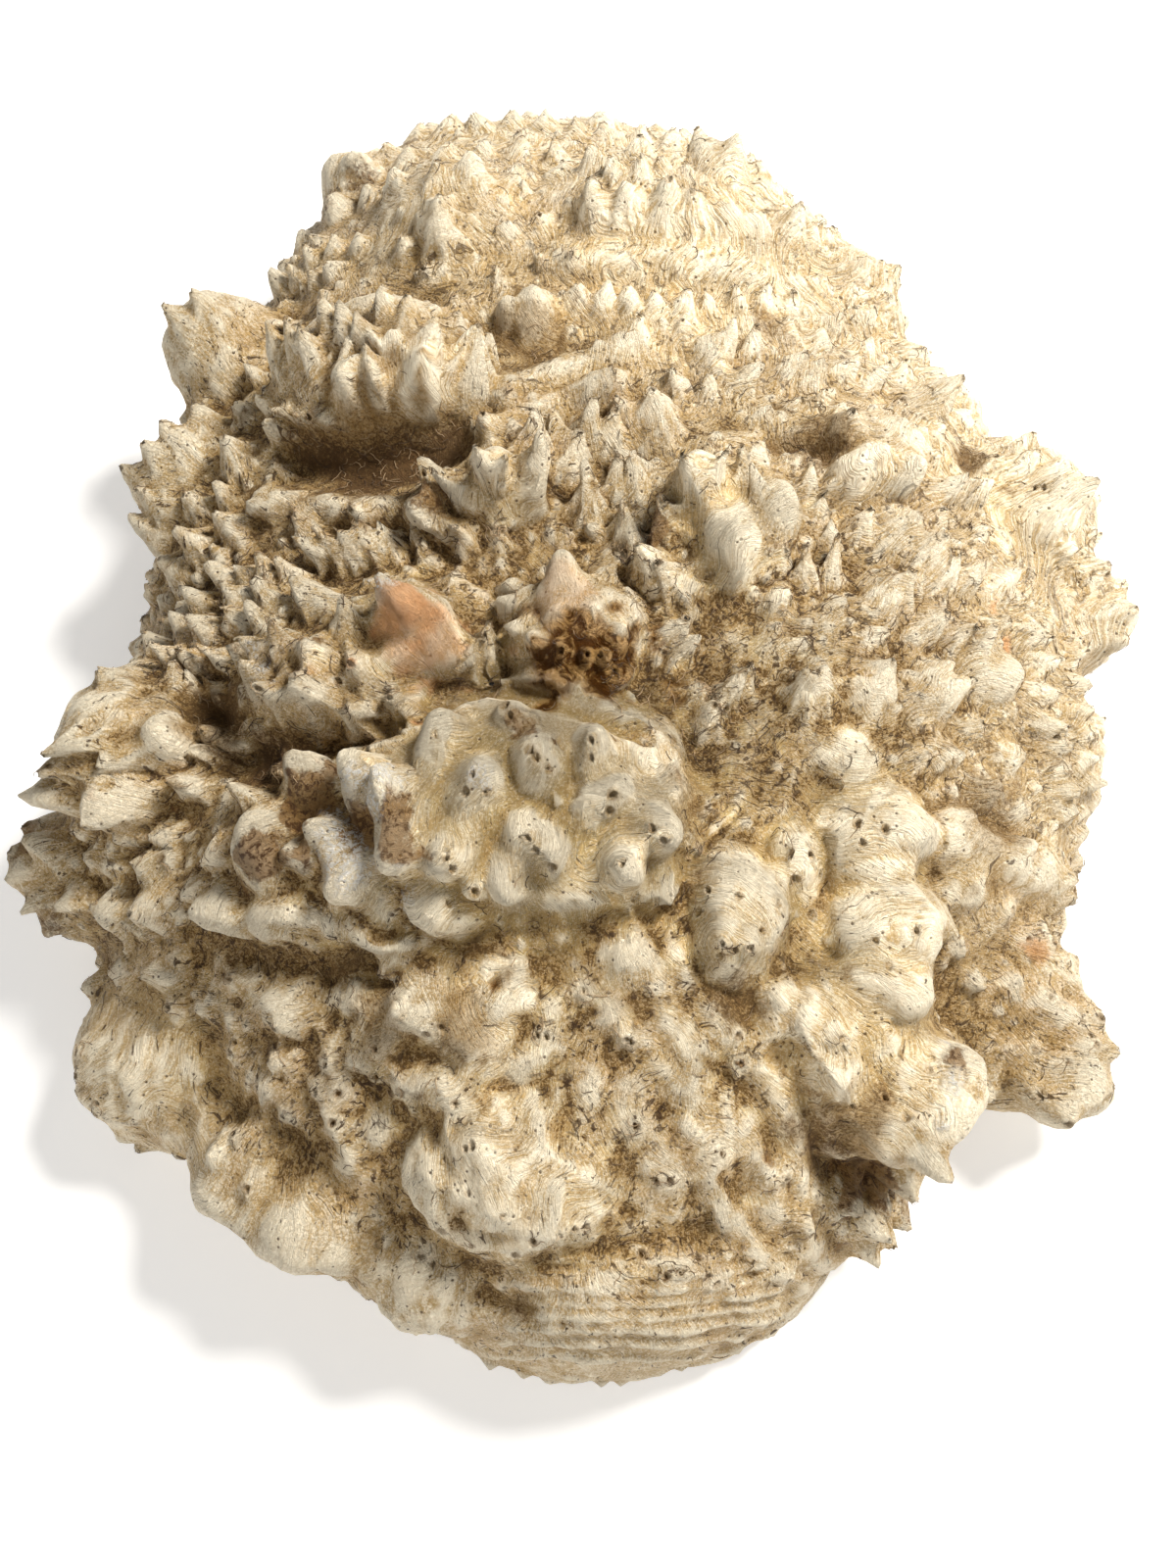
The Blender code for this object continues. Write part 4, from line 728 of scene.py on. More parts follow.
def scatteredWarts(ground):
    wart = wartForm
    draw = random.Random(wart["seed"])
    smoothPatches = [(place, radius) for place, radius, _ in patches["smooth"]]
    smooth = ground.seenAll(calmPlaces + plainPlaces + smoothPatches)
    spacing = wart["spacing"]
    forms, cells = [], {}
    for _ in range(wart["tries"]):
        centre, normal = ground.nearest(randomDomePoint(draw)[0])
        radius, slope = draw.uniform(*wart["radius"]), draw.uniform(*wart["slope"])
        onSmooth = any(np.linalg.norm(centre - c) < r for c, r in smooth)
        cell = tuple((centre // spacing).astype(int))
        beside = [cells.get((cell[0] + i, cell[1] + j, cell[2] + k), ())
                  for i in (-1, 0, 1) for j in (-1, 0, 1) for k in (-1, 0, 1)]
        close = any(np.linalg.norm(centre - other) < spacing for group in beside for other in group)
        low = centre[2] < wart["lowest"]
        if close or low or (draw.random() > wart["shareOnSmooth"] and onSmooth):
            continue
        cells.setdefault(cell, []).append(centre)
        radii = [radius * share for share in wart["oval"]]
        along = outwardFrom(centre, normal, wart["rise"])
        forms.append((centre, normal, along, radii, radius * slope, spike, wart["lean"]))
    return forms


def burlShape():
    # The steps from a unit sphere to the burl's surface, and the forms that stand on it
    detail = burlForm["groundDetail"]
    plain = groundOf(detail, domePoints)

    def withLobes(directions):
        return raiseLobes(domePoints(directions), plain)

    lobed = groundOf(detail, withLobes)

    def withFolds(directions):
        return raiseFolds(withLobes(directions), lobed, folds)

    folded = groundOf(detail, withFolds)
    knobForm = knobForms(folded)

    def withKnobs(directions):
        return raiseTogether(withFolds(directions), knobForm)

    knobbed = groundOf(detail, withKnobs)
    draw = random.Random(scatter["seed"])
    spikes = rowSpikes(knobbed, draw)
    rows = len(spikes)
    spikes += scatteredSpikes(knobbed, spikes + knobForm, draw)
    print(f"{rows} spikes in rows, {len(spikes) - rows} scattered, {len(knobForm)} knobs")

    def withSpikes(directions):
        return raiseTogether(withKnobs(directions), spikes, fluted=True)

    spiked = groundOf(burlForm["spikedDetail"], withSpikes)
    warts = scatteredWarts(spiked)
    print(f"{len(warts)} warts")

    narrow = fineFolds + lipFolds() + wrinkleFolds()

    def whole(directions):
        return raiseFolds(raiseTogether(withSpikes(directions), warts), spiked, narrow)

    return whole, spikes, warts


def edgesOf(mesh):
    return readOff(mesh.edges, "vertices", 2, np.int32)


def relaxed(points, edges, rounds, factor):
    # Points drawn towards the mean of their neighbours
    count = len(points)
    both = np.concatenate([edges[:, 0], edges[:, 1]])
    other = np.concatenate([edges[:, 1], edges[:, 0]])
    degree = np.maximum(np.bincount(both, minlength=count), 1)
    for _ in range(rounds):
        sums = [np.bincount(both, weights=points[other, axis], minlength=count) for axis in range(3)]
        points = points + factor * (np.stack(sums, axis=1) / degree[:, None] - points)
    return points


def poreSpots(ground, spikes):
    # Where the pores open: at the tips of the spikes, a little to the side the tip leans to, and at places
    form = poreForm
    draw = random.Random(form["seed"])
    spots = []
    for centre, normal, along, radii, height, _, lean in spikes:
        size = draw.uniform(*form["radius"])
        if draw.random() > form["share"]:
            continue
        tip = centre + height * (normal + lean * along) * draw.uniform(*form["tip"])
        found, facing = ground.nearest(tip + along * draw.uniform(*form["aside"]) * mm)
        spots.append((found, facing, along, size * min(1.0, radii[0] / (5 * mm) + 0.3)))
        if radii[0] > form["wideSpike"] and draw.random() < form["secondShare"]:
            side = np.cross(normal, along) * draw.uniform(-1, 1) - normal * 0.3
            found, facing = ground.nearest(tip + side * radii[0] * 0.5)
            spots.append((found, facing, along, size * form["secondSize"]))
    for place in porePlaces:
        found, facing = ground.seenAt(place)
        along = ground.alongPicture(facing, (draw.uniform(-1, 1), 1))
        spots.append((found, facing, along, draw.uniform(*form["radius"])))
    return spots


def treeOf(centres):
    tree = KDTree(len(centres))
    for number, centre in enumerate(centres):
        tree.insert(centre, number)
    tree.balance()
    return tree


def makePits(build, spots):
    # Finer triangles round each pore, then the pore is pushed in and its lip raised
    form = poreForm
    tree = treeOf([spot[0] for spot in spots])
    for reach in form["reaches"]:
        close = {vert for vert in build.verts if tree.find(vert.co)[2] < reach}
        edges = [edge for edge in build.edges
                 if (edge.verts[0] in close or edge.verts[1] in close) and edge.calc_length() > form["edge"]]
        bmesh.ops.subdivide_edges(build, edges=edges, cuts=1, use_grid_fill=True)
        bmesh.ops.triangulate(build, faces=[face for face in build.faces if len(face.verts) > 3])
    lipHeight, lipDistance, lipWidth = form["lip"]
    for vert in build.verts:
        _, number, distance = tree.find(vert.co)
        centre, facing, along, size = spots[number]
        if distance < size * 3:
            run = Vector(along).dot(vert.co - Vector(centre)) / size
            q = math.sqrt(max((distance / size) ** 2 - run ** 2, 0) + (run / form["oval"]) ** 2)
            lip = lipHeight * math.exp(-((q - lipDistance) / lipWidth) ** 2)
            sink = (1 - min(q, 1) ** 2) ** form["roundness"] * form["depth"]
            vert.co += Vector(facing) * (lip * size - sink)


def finishedMesh(thing):
    return bpy.data.meshes.new_from_object(thing.evaluated_get(bpy.context.evaluated_depsgraph_get()))


def placed(name, mesh):
    thing = bpy.data.objects.new(name, mesh)
    bpy.context.scene.collection.objects.link(thing)
    return thing


def makeBurl():
    shape, spikes, warts = burlShape()
    mesh = sphereMesh(burlForm["denseDetail"], burlForm["denseLowest"])
    print(f"dense sphere of {len(mesh.polygons)} faces")
    moveTo(mesh, shape(pointsOf(mesh)))
    points = relaxed(pointsOf(mesh), edgesOf(mesh), 1, 0.5)
    moveTo(mesh, points)
    lift = sum(high * waves(points, length, seed) for length, high, seed in ripples)
    moveTo(mesh, points + normalsOf(mesh) * lift[:, None])
    burl = placed("burl", mesh)
    thin = burl.modifiers.new("thin", "DECIMATE")
    thin.ratio = burlForm["triangles"] / len(mesh.polygons)
    thinned = finishedMesh(burl)
    burl.modifiers.clear()
    burl.data = thinned
    bpy.data.meshes.remove(mesh)
    print(f"thinned to {len(thinned.polygons)} faces")
    build = bmesh.new()
    build.from_mesh(thinned)
    ground = Ground(thinned)
    spots = poreSpots(ground, spikes)
    makePits(build, spots)
    everything = build.verts[:] + build.edges[:] + build.faces[:]
    bmesh.ops.bisect_plane(build, geom=everything, dist=1e-6, plane_co=(0, 0, 0), plane_no=(0, 0, -1),
                           clear_outer=True)
    bmesh.ops.holes_fill(build, edges=[edge for edge in build.edges if edge.is_boundary], sides=0)
    cut = bmesh.ops.triangulate(build, faces=[face for face in build.faces if len(face.verts) > 4])
    for face in cut["faces"]:
        face.material_index = 1
    bmesh.ops.translate(build, verts=build.verts, vec=-boxShift)
    build.to_mesh(thinned)
    build.free()
    thinned.name = "burl"
    for polygon in thinned.polygons:
        polygon.use_smooth = polygon.material_index == 0
    print(f"{len(spots)} pores, {len(thinned.polygons)} triangles in the burl")
    return burl, spots, spikes, warts, ground


# Stains and finishes by place: (place, radius mm, strength). The material reads them in this order
patches = {
    "resin": [((582, 652), 8, 1.0), ((606, 658), 9, 1.0), ((632, 668), 7.5, 1.0), ((568, 676), 7, 1.0),
              ((612, 688), 6, 1.0)],
    "salmon": [((412, 620), 9, 1.0), ((430, 650), 11, 0.6), ((575, 600), 7, 0.35), ((1060, 965), 3, 0.7),
               ((1025, 658), 2.5, 0.8)],
    "rot": [((315, 820), 7, 1.0), ((265, 880), 8, 1.0), ((404, 827), 5, 0.9), ((375, 842), 6, 0.9),
            ((404, 862), 5, 0.8), ((665, 540), 5, 0.9), ((440, 510), 6, 0.7), ((365, 182), 7, 0.55),
            ((330, 212), 6, 0.6), ((975, 1085), 3.5, 0.9), ((880, 1195), 8, 0.9), ((530, 740), 5, 0.7),
            ((20, 850), 6, 0.7), ((30, 940), 6, 0.6), ((940, 1250), 5, 0.6), ((870, 1222), 4, 0.7),
            ((900, 1222), 4, 0.7)],
    "dirt": [((385, 462), 19, 1.0), ((330, 455), 10, 0.9), ((440, 455), 10, 0.9), ((285, 772), 9, 1.0),
             ((230, 740), 12, 0.8), ((470, 1045), 8, 0.8), ((385, 1035), 7, 0.7), ((742, 1018), 6, 0.8),
             ((860, 1150), 12, 0.9), ((840, 455), 9, 0.8), ((985, 472), 5, 0.8), ((790, 330), 5, 0.7),
             ((545, 335), 8, 0.7), ((700, 830), 8, 0.5), ((1000, 830), 12, 0.6), ((530, 1340), 3, 1.0)],
    "smooth": [((540, 825), 44, 1.0), ((740, 945), 15, 1.0), ((812, 885), 14, 1.0), ((885, 850), 18, 0.9),
               ((890, 950), 20, 0.9), ((880, 1085), 26, 0.8), ((430, 385), 10, 0.9), ((725, 500), 11, 0.9),
               ((745, 560), 12, 0.9), ((1065, 510), 16, 0.7), ((140, 1100), 24, 0.6), ((505, 495), 10, 0.8),
               ((540, 1235), 20, 0.6), ((480, 1140), 22, 0.6), ((880, 480), 9, 0.8), ((690, 280), 30, 0.5)],
    "crust": [((375, 800), 5, 1.0), ((396, 788), 4, 0.9), ((344, 849), 5, 0.9), ((352, 886), 6, 0.9),
              ((258, 662), 2.5, 1.0), ((385, 592), 3, 0.9), ((270, 678), 2, 0.9), ((488, 790), 3, 0.8),
              ((975, 1105), 3, 1.0)],
    "dusty": [((560, 1060), 44, 1.0), ((400, 1060), 34, 0.9), ((690, 1120), 28, 0.8), ((500, 1180), 28, 0.7),
              ((300, 1000), 26, 0.8), ((760, 690), 34, 0.8), ((640, 935), 22, 0.8), ((200, 640), 34, 0.5),
              ((860, 640), 32, 0.6), ((250, 900), 26, 0.6), ((620, 1270), 26, 0.5), ((480, 560), 26, 0.5),
              ((820, 430), 30, 0.4), ((960, 560), 30, 0.4), ((640, 300), 30, 0.4)],
}


paint = {
    # Rounds and strength of the smoothing that tells hollows, creases and valleys from their surroundings
    "near": (4, 0.6),
    "middle": (14, 0.7),
    "wide": (60, 0.8),
    "patchSeed": 30,
    # Uneven edges of the patches, as (length, share of the radius), and where they start and stop fading
    "patchWaves": ((9 * mm, 0.22), (3.5 * mm, 0.12)),
    "patchFade": (0.72, 1.12),
    "poreReach": 4 * mm,
    "tipReach": 7 * mm,
    # The fibres run outwards and down from this place and height, and bend round what stands in their way
    "grainFrom": (-4 * mm, -50 * mm),
    "grainTop": 110 * mm,
    "grainRadius": 120 * mm,
    "grainRun": 0.16,
    "grainBend": 9 * mm,
    # Length, height and seed of each sway of the fibres
    "grainWaves": ((34 * mm, 3.5 * mm, 11), (12 * mm, mm, 12)),
    "leastReach": 25 * mm,
}


def patchMask(points, ground, entries, seed):
    # 1 in the middle of each patch, fading at an uneven edge
    mask = np.zeros(len(points))
    (long, longShare), (short, shortShare) = paint["patchWaves"]
    wobble = 1 + longShare * waves(points, long, seed) + shortShare * waves(points, short, seed + 1)
    start, stop = paint["patchFade"]
    for centre, radius, strength in ground.seenAll(entries):
        distance = np.linalg.norm(points - centre, axis=1) * wobble
        mask = np.maximum(mask, strength * (1 - smoothStep(start * radius, stop * radius, distance)))
    return mask


farAway = 9.0


def nearestFeature(points, centres, sizes, reach):
    # The distance to the nearest of many centres, in that centre's own size
    tree = treeOf(centres)
    result = np.full(len(points), farAway)
    for index, point in enumerate(points):
        _, number, distance = tree.find(point)
        if distance < reach:
            result[index] = distance / sizes[number]
    return result


def addColours(mesh, name, channels):
    attribute = mesh.attributes.new(name, "FLOAT_COLOR", "POINT")
    values = np.ones((len(mesh.vertices), 4), np.float32)
    for index, channel in enumerate(channels):
        values[:, index] = channel
    attribute.data.foreach_set("color", values.ravel())


def sunken(before, after, normals, inside):
    # How far each point lies under its smoothed surroundings, from 0 on a ridge to 1 in a hollow
    depth = ((after - before) * normals).sum(axis=1)
    spread = np.std(depth[inside])
    return np.where(inside, np.clip(0.5 + depth / (4 * spread), 0, 1), 0.5)


def paintBurl(burl, spots, spikes, warts, ground):
    # What the material reads at each point: hollows and tips, pores, stains and the run of the grain
    mesh = burl.data
    points = pointsOf(mesh) + np.array(boxShift)
    normals, edges = normalsOf(mesh), edgesOf(mesh)
    inside = points[:, 2] > 0.5 * mm
    near = relaxed(points, edges, *paint["near"])
    middle = relaxed(near, edges, *paint["middle"])
    wide = relaxed(middle, edges, *paint["wide"])
    hollow = sunken(points, near, normals, inside)
    crease = sunken(near, middle, normals, inside)
    valley = sunken(middle, wide, normals, inside)
    places, sizes = [spot[0] for spot in spots], [spot[3] for spot in spots]
    pore = nearestFeature(points, places, sizes, paint["poreReach"])
    tips = [form[0] + form[4] * (form[1] + form[6] * form[2]) for form in spikes + warts]
    tip = nearestFeature(points, tips, [form[3][0] for form in spikes + warts], paint["tipReach"])
    addColours(mesh, "relief", (hollow, valley, np.clip(pore / 4, 0, 1), np.clip(1 - tip, 0, 1)))
    masks = [patchMask(points, ground, entries, paint["patchSeed"] + 2 * number)
             for number, entries in enumerate(patches.values())]
    addColours(mesh, "stains", masks[:4])
    addColours(mesh, "finish", (*masks[4:], crease))
    outward = points[:, :2] - np.array(paint["grainFrom"])
    reach = np.linalg.norm(outward, axis=1)
    sways = [high * waves(points, length, seed) for length, high, seed in paint["grainWaves"]]
    bend = paint["grainBend"] * (valley - 0.5) + sum(sways)
    bearing = np.arctan2(outward[:, 1], outward[:, 0]) + bend / np.maximum(reach, paint["leastReach"])
    run = np.hypot(reach, points[:, 2] - paint["grainTop"])
    radius = paint["grainRadius"]
    grain = np.stack([radius * np.cos(bearing), radius * np.sin(bearing), paint["grainRun"] * run], axis=1)
    attribute = mesh.attributes.new("grain", "FLOAT_VECTOR", "POINT")
    attribute.data.foreach_set("vector", grain.astype(np.float32).ravel())


class Field:
    # A number that varies over the surface: sums and products of fields add Math nodes
    def __init__(self, graph, socket):
        self.graph = graph
        self.socket = socket

    def math(self, operation, *values):
        made = self.graph.node("ShaderNodeMath", {"operation": operation}, dict(enumerate(values)))
        return Field(self.graph, made.outputs[0])

    def size(self):
        return self.math("ABSOLUTE", self)

    def __add__(self, other):
        return self.math("ADD", self, other)

    def __radd__(self, other):
        return self.math("ADD", other, self)

    def __sub__(self, other):
        return self.math("SUBTRACT", self, other)

    def __rsub__(self, other):
        return self.math("SUBTRACT", other, self)

    def __mul__(self, other):
        return self.math("MULTIPLY", self, other)

    def __rmul__(self, other):
        return self.math("MULTIPLY", other, self)

    def most(self, other):
        return self.math("MAXIMUM", self, other)

    def sine(self):
        return self.math("SINE", self)

    def step(self, low, high):
        # 0 at low, 1 at high, smooth between
        made = self.graph.node("ShaderNodeMapRange", {"interpolation_type": "SMOOTHSTEP"},
                               {"Value": self, "From Min": low, "From Max": high})
        return Field(self.graph, made.outputs["Result"])


class Graph:
    # The node tree of one material
    def __init__(self, name):
        self.material = bpy.data.materials.new(name)
        self.material.use_nodes = True
        self.tree = self.material.node_tree
        self.shader = self.tree.nodes["Principled BSDF"]

    def node(self, kind, settings=None, inputs=None):
        made = self.tree.nodes.new(kind)
        for name, value in (settings or {}).items():
            setattr(made, name, value)
        self.fill(made, inputs or {})
        return made

    def fill(self, made, inputs):
        for name, value in inputs.items():
            value = value.socket if isinstance(value, Field) else value
            if isinstance(value, bpy.types.NodeSocket):
                self.tree.links.new(value, made.inputs[name])
            else:
                made.inputs[name].default_value = value

    def mix(self, share, first, second):
        ends = [value if isinstance(value, bpy.types.NodeSocket) else (*value, 1)
                for value in (first, second)]
        made = self.node("ShaderNodeMix", {"data_type": "RGBA"}, {0: share, 6: ends[0], 7: ends[1]})
        return made.outputs[2]

    def scaled(self, vector, amounts):
        made = self.node("ShaderNodeVectorMath", {"operation": "MULTIPLY"}, {0: vector, 1: amounts})
        return made.outputs[0]

    def noise(self, vector, size, detail=2.0, roughness=0.5, distortion=0.0):
        made = self.node("ShaderNodeTexNoise", {}, {"Vector": vector, "Scale": 1 / size, "Detail": detail,
                                                    "Roughness": roughness, "Distortion": distortion})
        return Field(self, made.outputs["Fac"])

    def cells(self, vector, size):
        made = self.node("ShaderNodeTexVoronoi", {}, {"Vector": vector, "Scale": 1 / size})
        return Field(self, made.outputs["Distance"])

    def strokes(self, vector, size, width):
        # Thin curved lines, where a noise passes through its middle value
        middle = (self.noise(vector, size, 2, 0.5, 0.5) - 0.5).size()
        return middle.step(width * 1.5, width * 0.5)

    def attribute(self, name):
        return self.node("ShaderNodeAttribute", {"attribute_name": name})

    def channels(self, name):
        source = self.attribute(name)
        parts = self.node("ShaderNodeSeparateColor", {}, {"Color": source.outputs["Color"]})
        sockets = [parts.outputs[index] for index in range(3)] + [source.outputs["Alpha"]]
        return [Field(self, socket) for socket in sockets]

    def bump(self, height, distance):
        inputs = {"Height": height, "Distance": distance, "Strength": 1.0}
        return self.node("ShaderNodeBump", {}, inputs).outputs["Normal"]


woodLook = {
    "cream": (0.76, 0.61, 0.39),
    "pale": (0.94, 0.86, 0.68),
    "blush": (0.72, 0.52, 0.33),
    "knob": (0.90, 0.83, 0.60),
    "knobShade": (0.50, 0.39, 0.14),
    # Brown of the fibre streaks, also used for painted shade
    "streakAndShade": (0.46, 0.30, 0.11),
    # Brown of the dust and painted shade in hollows, and of the dirt patches
    "recess": (0.32, 0.19, 0.060),
    "deep": (0.125, 0.062, 0.012),
    "dash": (0.07, 0.035, 0.012),
    # Painted shade of the pores: their edge, then their inside
    "poreEdge": (0.30, 0.17, 0.06),
    "poreInside": (0.009, 0.005, 0.003),
    "resin": (0.085, 0.032, 0.006),
    "resinEdge": (0.50, 0.27, 0.075),
    "salmon": (0.66, 0.32, 0.13),
    "decay": (0.31, 0.165, 0.050),
    "rot": (0.085, 0.034, 0.008),
    "crust": (0.83, 0.80, 0.74),
    "dirt": (0.10, 0.050, 0.016),
    # Towards the side painted as lit: painted light
    "litSideFrom": (2.4, 2.4, 0),
    "roughness": 0.66,
    # Size, detail, roughness and distortion of the patches, felt, grit and bubbles of the wood
    "noises": ((22 * mm, 3, 0.55), (6 * mm, 3, 0.6), (1.1 * mm, 5, 0.7, 0.8), (0.55 * mm, 2, 0.6, 0.6),
               (3.2 * mm, 3, 0.6, 1.2)),
    # The same for fibres, growth lines, threads and scraps, after how close they lie along the grain
    "grainNoises": ((1, 0.7 * mm, 4, 0.65, 0.5), (1, 4.5 * mm, 2, 0.5, 0.6), (0.6, 0.45 * mm, 2, 0.5),
                    (2.6, 1.5 * mm, 3, 0.65, 1.4)),
    "speckSize": 2.4 * mm,
}


def woodMaterial():
    graph = Graph("debarkedBurlWood")
    look = woodLook
    place = graph.node("ShaderNodeTexCoord").outputs["Object"]
    grain = graph.attribute("grain").outputs["Vector"]
    hollow, valley, pore, tip = graph.channels("relief")
    resin, salmon, rot, dirt = graph.channels("stains")
    smooth, crust, dusty, crease = graph.channels("finish")
    rough = 1 - smooth
    # Painted light: the far and right-hand sides, towards the key lamp, are painted paler, with less dust and
    # shade than the front
    toBack = graph.node("ShaderNodeVectorMath", {"operation": "DOT_PRODUCT"},
                        {0: place, 1: look["litSideFrom"]})
    litSide = Field(graph, toBack.outputs["Value"]).step(-0.1, 0.4)
    mottle, patch, felt, grit, bubbles = (graph.noise(place, *row) for row in look["noises"])
    fibre, coarse, threads, scraps = (graph.noise(graph.scaled(grain, (1, 1, run)), *row)
                                      for run, *row in look["grainNoises"])
    lines = (coarse * 95 + fibre * 3).sine()
    specks = graph.cells(place, look["speckSize"])

    colour = graph.mix(mottle.step(0.36, 0.66), look["cream"], look["blush"])
    colour = graph.mix(patch.step(0.40, 0.68) * 0.6, colour, look["pale"])
    # On the smooth knobs: painted shade in the gaps between them and a painted highlight on their tops
    knobShade = ((crease + valley) * 0.7 + patch * 0.4).step(0.82, 1.2)
    knobColour = graph.mix(knobShade, look["knob"], look["knobShade"])
    knobColour = graph.mix((1 - valley).step(0.45, 0.8) * 0.6, knobColour, look["pale"])
    colour = graph.mix(smooth * 0.75, colour, knobColour)

    # Painted shade: brown where a point lies deep under its surroundings at all three scales, weaker on the
    # lit side
    shade = (hollow + crease + valley).step(1.5, 2.3) * (0.7 - 0.4 * litSide)
    # Brown in hollows, creases and valleys: partly dust, partly painted shade, with less of both on the lit
    # side
    dustAndShade = hollow.step(0.48, 0.85) * 0.75 + crease.step(0.5, 0.9) * 0.4 + valley.step(0.5, 0.95) * 0.25
    dustAndShade = (dustAndShade * (0.35 + 0.65 * rough) * (0.85 + 0.75 * dusty) * (1 - 0.7 * litSide)).step(0.05, 1.2)
    cover = 0.05 * (valley + crease) * (0.35 + 0.65 * rough)
    scrapShare = (scraps + cover).step(0.66, 0.70)
    scribble = graph.strokes(place, 3.0 * mm, 0.045) * graph.noise(place, 2.1 * mm, 1).step(0.52, 0.59)
    scribble = scribble * (0.12 + 0.88 * rough) * (0.5 + 0.5 * dusty) * (valley + crease).step(0.75, 1.2)
    decay = (rot * 0.9 + felt * 0.7 + patch * 0.5).step(0.95, 1.3)
    brown = rot * (felt * 0.6 + bubbles).step(0.78, 0.92)
    sticky = resin * (bubbles + patch * 0.4 + hollow * 0.3).step(0.66, 0.95)
    litter = dirt * (valley * 0.45 + felt + grit * 0.4).step(0.80, 1.12)
    # Each covers a share of what lies under it
    layers = [
        # Painted shade and light: low parts are painted browner and raised parts paler, and the lit side
        # paler still
        (shade * (0.5 + 0.5 * rough), "streakAndShade"),
        ((1 - crease).step(0.45, 0.8) * 0.7, "pale"),
        (litSide * 0.6, "pale"),
        ((1 - litSide) * 0.22, "streakAndShade"),
        # The fibres show as streaks, with grit over them
        (fibre.step(0.47, 0.60) * (0.35 + valley * 0.6), "streakAndShade"),
        (lines.step(0.0, 1.0) * 0.2 + threads.step(0.49, 0.57) * 0.62, "streakAndShade"),
        (grit.step(0.50, 0.60) * (0.25 + 0.5 * rough) * (1 - 0.6 * litSide), "streakAndShade"),
        (grit.step(0.48, 0.38) * 0.35, "pale"),
        # Tips and raised parts paler: partly the pale caps of the spikes, partly painted highlight
        ((1 - hollow).step(0.5, 0.85).most(tip.step(0.5, 0.95)) * 0.6, "pale"),
        # Hollows keep brown dust, partly painted shade, and short dark scraps of bark
        (dustAndShade * (0.3 + felt * 0.8), "recess"),
        ((felt + grit * 0.6 + dustAndShade * 0.34).step(1.10, 1.18) * 0.85, "deep"),
        (scrapShare * (0.9 - 0.5 * litSide), "dash"),
        (scribble, "dash"),
        (specks.step(0.16, 0.10) * patch.step(0.42, 0.55) * 0.85, "dash"),
        # Stains
        (salmon * (0.5 + patch * 0.7), "salmon"),
        (decay * 0.8, "decay"),
        (dirt * (0.35 + felt * 0.9), "recess"),
        (brown * 0.95, "rot"),
        (resin * 0.85, "resinEdge"),
        (sticky, "resin"),
        (crust * felt.step(0.46, 0.56), "crust"),
        (litter * 0.95, "dirt"),
        # Pores: painted shade of the hole, dark inside, with a brown edge
        (pore.step(0.55, 0.28) * 0.45, "poreEdge"),
        (pore.step(0.28, 0.23), "poreInside"),
    ]
    for share, finish in layers:
        colour = graph.mix(share, colour, look[finish])

    # Heights in millimetres
    wood = lines * 0.05 + fibre * 0.75 + threads * 0.6 + patch * 0.9
    crumbs = felt * (0.35 + 0.85 * rough + 1.2 * rot.most(crust) - 0.5 * litSide)
    crumbs = crumbs + scrapShare * 0.25 - specks.step(0.22, 0.12) * 0.3
    normal = graph.bump(wood + crumbs * 1.2 + scribble * 0.3 - resin * bubbles * 3.0, mm)
    gloss = look["roughness"] - smooth * 0.14 - resin * 0.22 - sticky * 0.24 + litter * 0.2
    graph.fill(graph.shader, {"Base Color": colour, "Roughness": gloss, "Normal": normal,
                              "Specular IOR Level": 0.28})
    return graph.material


sawnLook = {
    "heart": (0.25, 0.105, 0.048),
    "heartDark": (0.14, 0.052, 0.022),
    "sap": (0.58, 0.42, 0.25),
    "eye": (0.06, 0.022, 0.01),
    "halfSize": (0.147, 0.186),
    "roughness": 0.6,
    # Size, detail, roughness and distortion of each noise
    "swirl": (30 * mm, 4, 0.6, 2.2),
    "rim": (18 * mm, 3, 0.6),
    "fine": (2.2 * mm, 4, 0.65, 2.5),
    "eyeSize": 9 * mm,
    "sawMarks": {"Scale": 90.0, "Distortion": 1.2, "Detail": 2.0},
}


def sawnMaterial():
    # The sawn underside: red-brown heartwood full of small eyes, with a paler rim and saw marks
    graph = Graph("sawnBurlWood")
    look = sawnLook
    place = graph.node("ShaderNodeTexCoord").outputs["Object"]
    across, along = look["halfSize"]
    level = graph.scaled(place, (1 / across, 1 / along, 0))
    length = graph.node("ShaderNodeVectorMath", {"operation": "LENGTH"}, {0: level}).outputs["Value"]
    swirl = graph.noise(place, *look["swirl"])
    rim = Field(graph, length) + (graph.noise(place, *look["rim"]) - 0.5) * 0.35
    fine = graph.noise(place, *look["fine"])
    eyes = graph.cells(place, look["eyeSize"])
    colour = graph.mix(swirl.step(0.35, 0.68), look["heart"], look["heartDark"])
    colour = graph.mix(rim.step(0.80, 0.96), colour, look["sap"])
    colour = graph.mix(fine.step(0.52, 0.7) * 0.45, colour, look["heartDark"])
    colour = graph.mix((swirl * 60).sine().step(0.2, 1.0) * 0.3, colour, look["heartDark"])
    colour = graph.mix(eyes.step(0.24, 0.10) * 0.85, colour, look["eye"])
    marks = graph.node("ShaderNodeTexWave", {"wave_type": "BANDS", "bands_direction": "DIAGONAL"},
                       {"Vector": place, **look["sawMarks"]}).outputs["Fac"]
    normal = graph.bump(Field(graph, marks) * 0.15 + fine * 0.12, mm)
    graph.fill(graph.shader, {"Base Color": colour, "Roughness": look["roughness"], "Normal": normal})
    return graph.material


fibreLook = {
    "seed": 17,
    "tries": 26000,
    "most": 4800,
    "length": (1.5 * mm, 5 * mm),
    "thickness": 0.09 * mm,
    "steps": 4,
    "curl": 1.0,
    "lift": (0.05 * mm, 0.45 * mm),
    "lowest": 2 * mm,
    # How strongly the valleys draw them
    "pull": 2,
    "shadeSize": 5 * mm,
    "dark": (0.055, 0.030, 0.014),
    "light": (0.36, 0.25, 0.14),
    # Share of the tries that stay away from the places below
    "elsewhere": 0.22,
}

